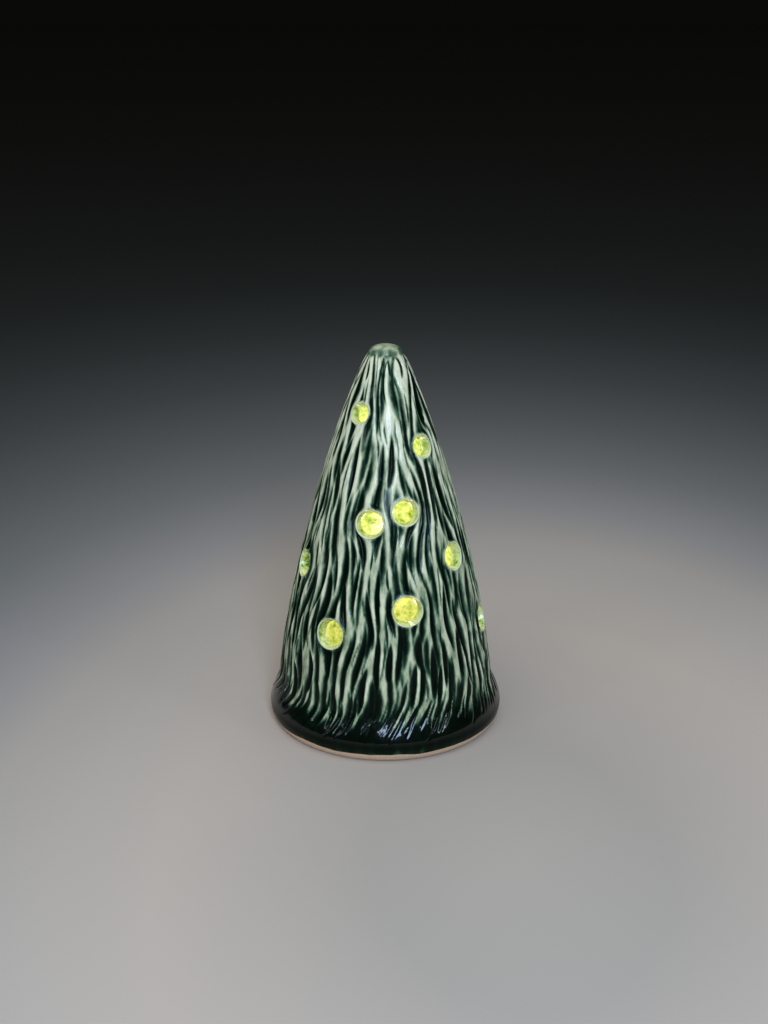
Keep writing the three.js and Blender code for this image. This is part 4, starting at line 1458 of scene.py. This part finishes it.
@dataclass
class TeaLight:
    """The battery tea light under the tree. Sizes are in millimetres.

    Attributes:
        cup_radius: Outer radius of the cup.
        cup_height: Height of its rim.
        flame_height: Height of the flame's point.
        flame_shoulder: Height at which the flame starts to narrow.
        sleeve: Radius of the flame below that.
        post_x: How far to the right the screw posts stand.
        post_y: How far in front and behind they stand.
    """

    cup_radius: float = 18.8
    cup_height: float = 17.0
    flame_height: float = 36.5
    flame_shoulder: float = 19.0
    sleeve: float = 4.9
    post_x: float = 6.5
    post_y: float = 13.0

    def cup(self) -> Turning:
        """Draws the cup with its dished top, sunk like melted wax.

        Returns:
            The cup.
        """
        r, h = self.cup_radius, self.cup_height
        outline = (
            (r, 0.0), (r, h - 1.0), (r - 0.3, h - 0.3), (r - 1.0, h), (16.8, h),
            (15.8, h - 1.0), (13.0, 14.9), (10.9, 14.5), (8.0, 13.95), (6.0, 13.5), (5.2, 13.9),
            (5.2, 12.3), (6.9, 12.3), (17.6, 14.8), (17.6, 0.0),
        )
        return Turning("wax_topped_cup", outline, CUP_PLASTIC, "cup_plastic", edge=0.35, sides=96,
                       replaces=("tealight_cup",))

    def flame(self) -> Turning:
        """Draws the frosted flame tip with its flange and hollow core.

        Returns:
            The flame.
        """
        skin = []
        for t in np.linspace(0, 0.985, 16):
            height = self.flame_shoulder + t * (self.flame_height - self.flame_shoulder)
            skin.append((self.sleeve * (1 - t * t) ** 1.15, float(height)))
        core = ((0.0, 23.5), (2.31, 22.51), (3.3, 20.2), (3.3, 11.0))
        flange = ((6.6, 11.0), (6.6, 12.0), (self.sleeve, 12.0))
        outline = (*flange, *skin, (0.0, self.flame_height), *core)
        return Turning("frosted_flame", outline, FLAME, "flame_plastic", edge=0.15, sides=72,
                       replaces=("flame_lens",))

    def build(self) -> None:
        """Builds every piece of the tea light."""
        self.cup().build()
        self.flame().build()
        post = ((2.2, 3.7), (2.2, 14.6), (0.0, 14.6), (0.0, 10.7), (1.15, 10.7), (1.15, 3.7))
        for side, y in (("front", -self.post_y), ("back", self.post_y)):
            Turning(f"screw_post_{side}", post, CUP_PLASTIC, "cup_plastic", at=(self.post_x, y),
                    sides=32).build()
        for dressed in (
            Dressed("led_bulb", EPOXY, "led_epoxy", 0.1),
            Dressed("led_anode_lead", TINNED, "tinned_wire", 0.08),
            Dressed("led_cathode_lead", TINNED, "tinned_wire", 0.08),
            Dressed("tealight_chassis", CUP_PLASTIC, "cup_plastic"),
            Dressed("positive_contact", BRASS, "contact_strip", 0.05),
            Dressed("negative_contact", BRASS, "contact_strip", 0.05),
            Dressed("switch_slider", SWITCH_PLASTIC, "switch_plastic"),
            Dressed("chassis_screw_front", ZINC, "screw_steel", 0.06),
            Dressed("chassis_screw_back", ZINC, "screw_steel", 0.06),
            Dressed("coin_cell", NICKEL, "cell_steel", 0.08),
            Dressed("battery_door", CUP_PLASTIC, "cup_plastic"),
        ):
            dressed.build()


@dataclass(frozen=True)
class StudioFloor(Finish):
    """Matt grey backdrop paper with a painted pool of light: its grey is pale round the tree and
    darkens away behind it.

    Attributes:
        name: Name of the material.
        pool: Place of the middle of the painted pool of light, in metres.
        stops: Painted greys by the distance from it, as a share of the distance and the spread
            together.
        spread: Distance in metres at which that share is a half.
        narrowness: How many times deeper than wide the pool is.
        fibre_mm: Width of the paper's fibres, drawn coarse enough to show.
    """

    name: str = "backdrop_paper_painted_light_pool"
    pool: tuple[float, float] = (0.05, -0.12)
    stops: tuple[tuple[float, str], ...] = (
        (0.000, "#BDB6AB"), (0.150, "#B8B1A7"), (0.250, "#C6BCB0"), (0.300, "#CCC1B4"),
        (0.356, "#C6BEB3"), (0.405, "#BEB7AE"), (0.453, "#A4A2A1"), (0.506, "#858887"),
        (0.554, "#717474"), (0.606, "#5B5F5F"), (0.658, "#494D4D"), (0.711, "#3A3F3D"),
        (0.770, "#373A38"), (0.830, "#363735"), (0.900, "#333330"), (1.000, "#2A2A26"),
    )
    spread: float = 0.5
    narrowness: float = 1.6
    fibre_mm: float = 0.8

    def surface(self, tree: bpy.types.NodeTree) -> bpy.types.Node:
        """Paper whose grey darkens with the distance from the middle of the painted pool of light.

        Args:
            tree: The node tree to add the nodes to.

        Returns:
            The node whose first output is the shader.
        """
        place = add_node(tree, "TexCoord").outputs["Object"]
        middle = add_node(tree, "VectorMath", {0: place, 1: (*self.pool, 0.0)}, operation="SUBTRACT")
        narrowed = {0: middle, 1: (self.narrowness, 1.0, 1.0)}
        oval = add_node(tree, "VectorMath", narrowed, operation="MULTIPLY")
        away = add_node(tree, "VectorMath", {0: oval}, operation="LENGTH").outputs["Value"]
        beyond = add_node(tree, "Math", {0: away, 1: self.spread}, operation="ADD")
        share = add_node(tree, "Math", {0: away, 1: beyond}, operation="DIVIDE")
        fibre = mottle(tree, self.fibre_mm, 3.0, 0.6)
        tooth = add_node(tree, "Bump", {"Strength": 0.15, "Distance": 0.05 * MM, "Height": fibre})
        return add_node(tree, "BsdfPrincipled", {
            # The paper's grey is a painted pool of light: pale near the tree and dark far from it.
            "Base Color": add_node(tree, "ValToRGB", {"Fac": share}, self.stops),
            "Roughness": 0.9,
            "Specular IOR Level": 0.0,
            "Normal": tooth,
        })


@dataclass(frozen=True)
class Softbox:
    """A rectangular lamp that faces the tree.

    Attributes:
        name: Its name.
        turn: Degrees from the front, towards +X.
        rise: Degrees above level.
        distance: Metres from the middle of the tree.
        size: Width and height in metres.
        radiance: Brightness of its face.
        colour: Its colour.
        mirrored: Whether glossy surfaces mirror it. A polarised lamp leaves no reflection.
        aim: Height in metres of the place on the tree that it faces.
    """

    name: str
    turn: float
    rise: float
    distance: float
    size: tuple[float, float]
    radiance: float
    colour: str = "#FFFFFF"
    mirrored: bool = False
    aim: float = 0.08

    def build(self) -> None:
        """Hangs the lamp."""
        lamp = bpy.data.lights.new(self.name, "AREA")
        lamp.shape = "RECTANGLE"
        lamp.size, lamp.size_y = self.size
        lamp.energy = self.radiance * math.pi * self.size[0] * self.size[1]
        lamp.color = linear(self.colour)[:3]
        made = bpy.data.objects.new(self.name, lamp)
        made.visible_glossy = self.mirrored
        turn, rise = math.radians(self.turn), math.radians(self.rise)
        level = math.cos(rise)
        toward = Vector((level * math.sin(turn), -level * math.cos(turn), math.sin(rise)))
        made.location = Vector((0, 0, self.aim)) + self.distance * toward
        made.rotation_euler = toward.to_track_quat("Z", "Y").to_euler()
        bpy.context.scene.collection.objects.link(made)


@dataclass(frozen=True)
class GlowLamp:
    """A small warm lamp in the hollow, for the light that the flame throws upward.

    Attributes:
        name: Its name.
        height: Its height in metres.
        power: Its power in watts.
        radius: Its radius in metres.
        colour: Its colour.
    """

    name: str
    height: float
    power: float
    radius: float = 0.004
    colour: str = "#FFF7DC"

    def build(self) -> None:
        """Hangs the lamp on the tree's axis, out of the camera's sight."""
        lamp = bpy.data.lights.new(self.name, "POINT")
        lamp.energy = self.power
        lamp.shadow_soft_size = self.radius
        lamp.color = linear(self.colour)[:3]
        made = bpy.data.objects.new(self.name, lamp)
        made.location = (0, 0, self.height)
        made.visible_camera = False
        bpy.context.scene.collection.objects.link(made)


@dataclass
class Studio:
    """The floor, lamps, world and camera. Lengths are in metres.

    Attributes:
        softboxes: The lamps round the tree.
        glows: The lamps in it.
        camera_place: Where the camera stands.
        camera_pitch: Degrees that it looks down.
        lens: Its focal length in millimetres.
        sensor: Width of its sensor in millimetres.
        floor_half: Half of the floor's width.
    """

    softboxes: tuple[Softbox, ...] = (
        Softbox("key_window", 8, 27, 0.95, (0.22, 0.50), 16.0, "#C2DBFF", True),
        Softbox("front_fill", -14, 48, 1.4, (1.1, 0.8), 1.3, "#FFF8F0"),
        Softbox("top_fill", 0, 88, 1.2, (1.2, 1.2), 0.9),
        Softbox("left_strip", -50, 22, 1.0, (0.03, 0.6), 14.0, "#DCE8F4", True),
        Softbox("right_strip", 54, 22, 1.0, (0.03, 0.6), 14.0, "#DCE8F4", True),
        Softbox("left_fill", -80, 25, 1.0, (0.5, 0.8), 0.12),
        Softbox("right_fill", 80, 25, 1.0, (0.5, 0.8), 0.25),
    )
    glows: tuple[GlowLamp, ...] = (
        GlowLamp("flame_glow", 0.041, 0.038),
        GlowLamp("middle_glow", 0.085, 0.015),
        GlowLamp("upper_glow", 0.125, 0.008),
    )
    camera_place: tuple[float, float, float] = (-0.0006, -0.580, 0.2956)
    camera_pitch: float = 19.15
    lens: float = 50.0
    sensor: float = 36.0
    floor_half: float = 90.0

    def floor(self) -> None:
        """Lays the floor."""
        mesh = bpy.data.meshes.new("studio_floor")
        half = self.floor_half
        corners = [(-half, -half, 0), (half, -half, 0), (half, half, 0), (-half, half, 0)]
        mesh.from_pydata(corners, [], [(0, 1, 2, 3)])
        mesh.materials.append(StudioFloor().material())
        made = bpy.data.objects.new("studio_floor", mesh)
        bpy.context.scene.collection.objects.link(made)
        made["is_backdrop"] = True

    def world(self) -> None:
        """Sets a dim even sky, and near black where the camera looks past the floor."""
        world = bpy.data.worlds.new("studio_world")
        bpy.context.scene.world = world
        world.use_nodes = True
        tree = world.node_tree
        tree.nodes.clear()
        path = add_node(tree, "LightPath").outputs
        sky, mirrored, seen = (
            add_node(tree, "Background", {"Color": linear(colour), "Strength": strength})
            for colour, strength in (("#FFFFFF", 0.12), ("#FFFFFF", 0.02), ("#0A0A08", 1.0))
        )
        lit = add_node(tree, "MixShader", {0: path["Is Glossy Ray"], 1: sky, 2: mirrored})
        mixed = add_node(tree, "MixShader", {0: path["Is Camera Ray"], 1: lit, 2: seen})
        add_node(tree, "OutputWorld", {"Surface": mixed})

    def camera(self) -> None:
        """Sets the camera at the photograph's viewing angle."""
        camera = bpy.data.cameras.new("photo_camera")
        camera.lens = self.lens
        camera.sensor_width = self.sensor
        camera.sensor_fit = "AUTO"
        camera.clip_start = 0.01
        camera.clip_end = 200.0
        made = bpy.data.objects.new("photo_camera", camera)
        made.location = self.camera_place
        made.rotation_euler = (math.radians(90 - self.camera_pitch), 0, 0)
        bpy.context.scene.collection.objects.link(made)
        bpy.context.scene.camera = made

    def build(self) -> None:
        """Builds the studio."""
        self.floor()
        self.world()
        self.camera()
        for lamp in (*self.softboxes, *self.glows):
            lamp.build()
        bpy.context.scene.view_settings.view_transform = "Standard"


def save_sizes(before: Sequence[Vector], after: Sequence[Vector]) -> None:
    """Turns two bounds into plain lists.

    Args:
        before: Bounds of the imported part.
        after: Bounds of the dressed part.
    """
    named = {"cad": before, "dressed": after}
    sizes = {name: [list(corner) for corner in corners] for name, corners in named.items()}


def main() -> None:
    """Builds the luminary and its studio."""
    logging.basicConfig(level=logging.INFO, format="%(name)s %(message)s")
    CarvedTree().build()
    TeaLight().build()
    Studio().build()
    save_sizes(CAD_BOUNDS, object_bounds())


if __name__ == "__main__":
    main()
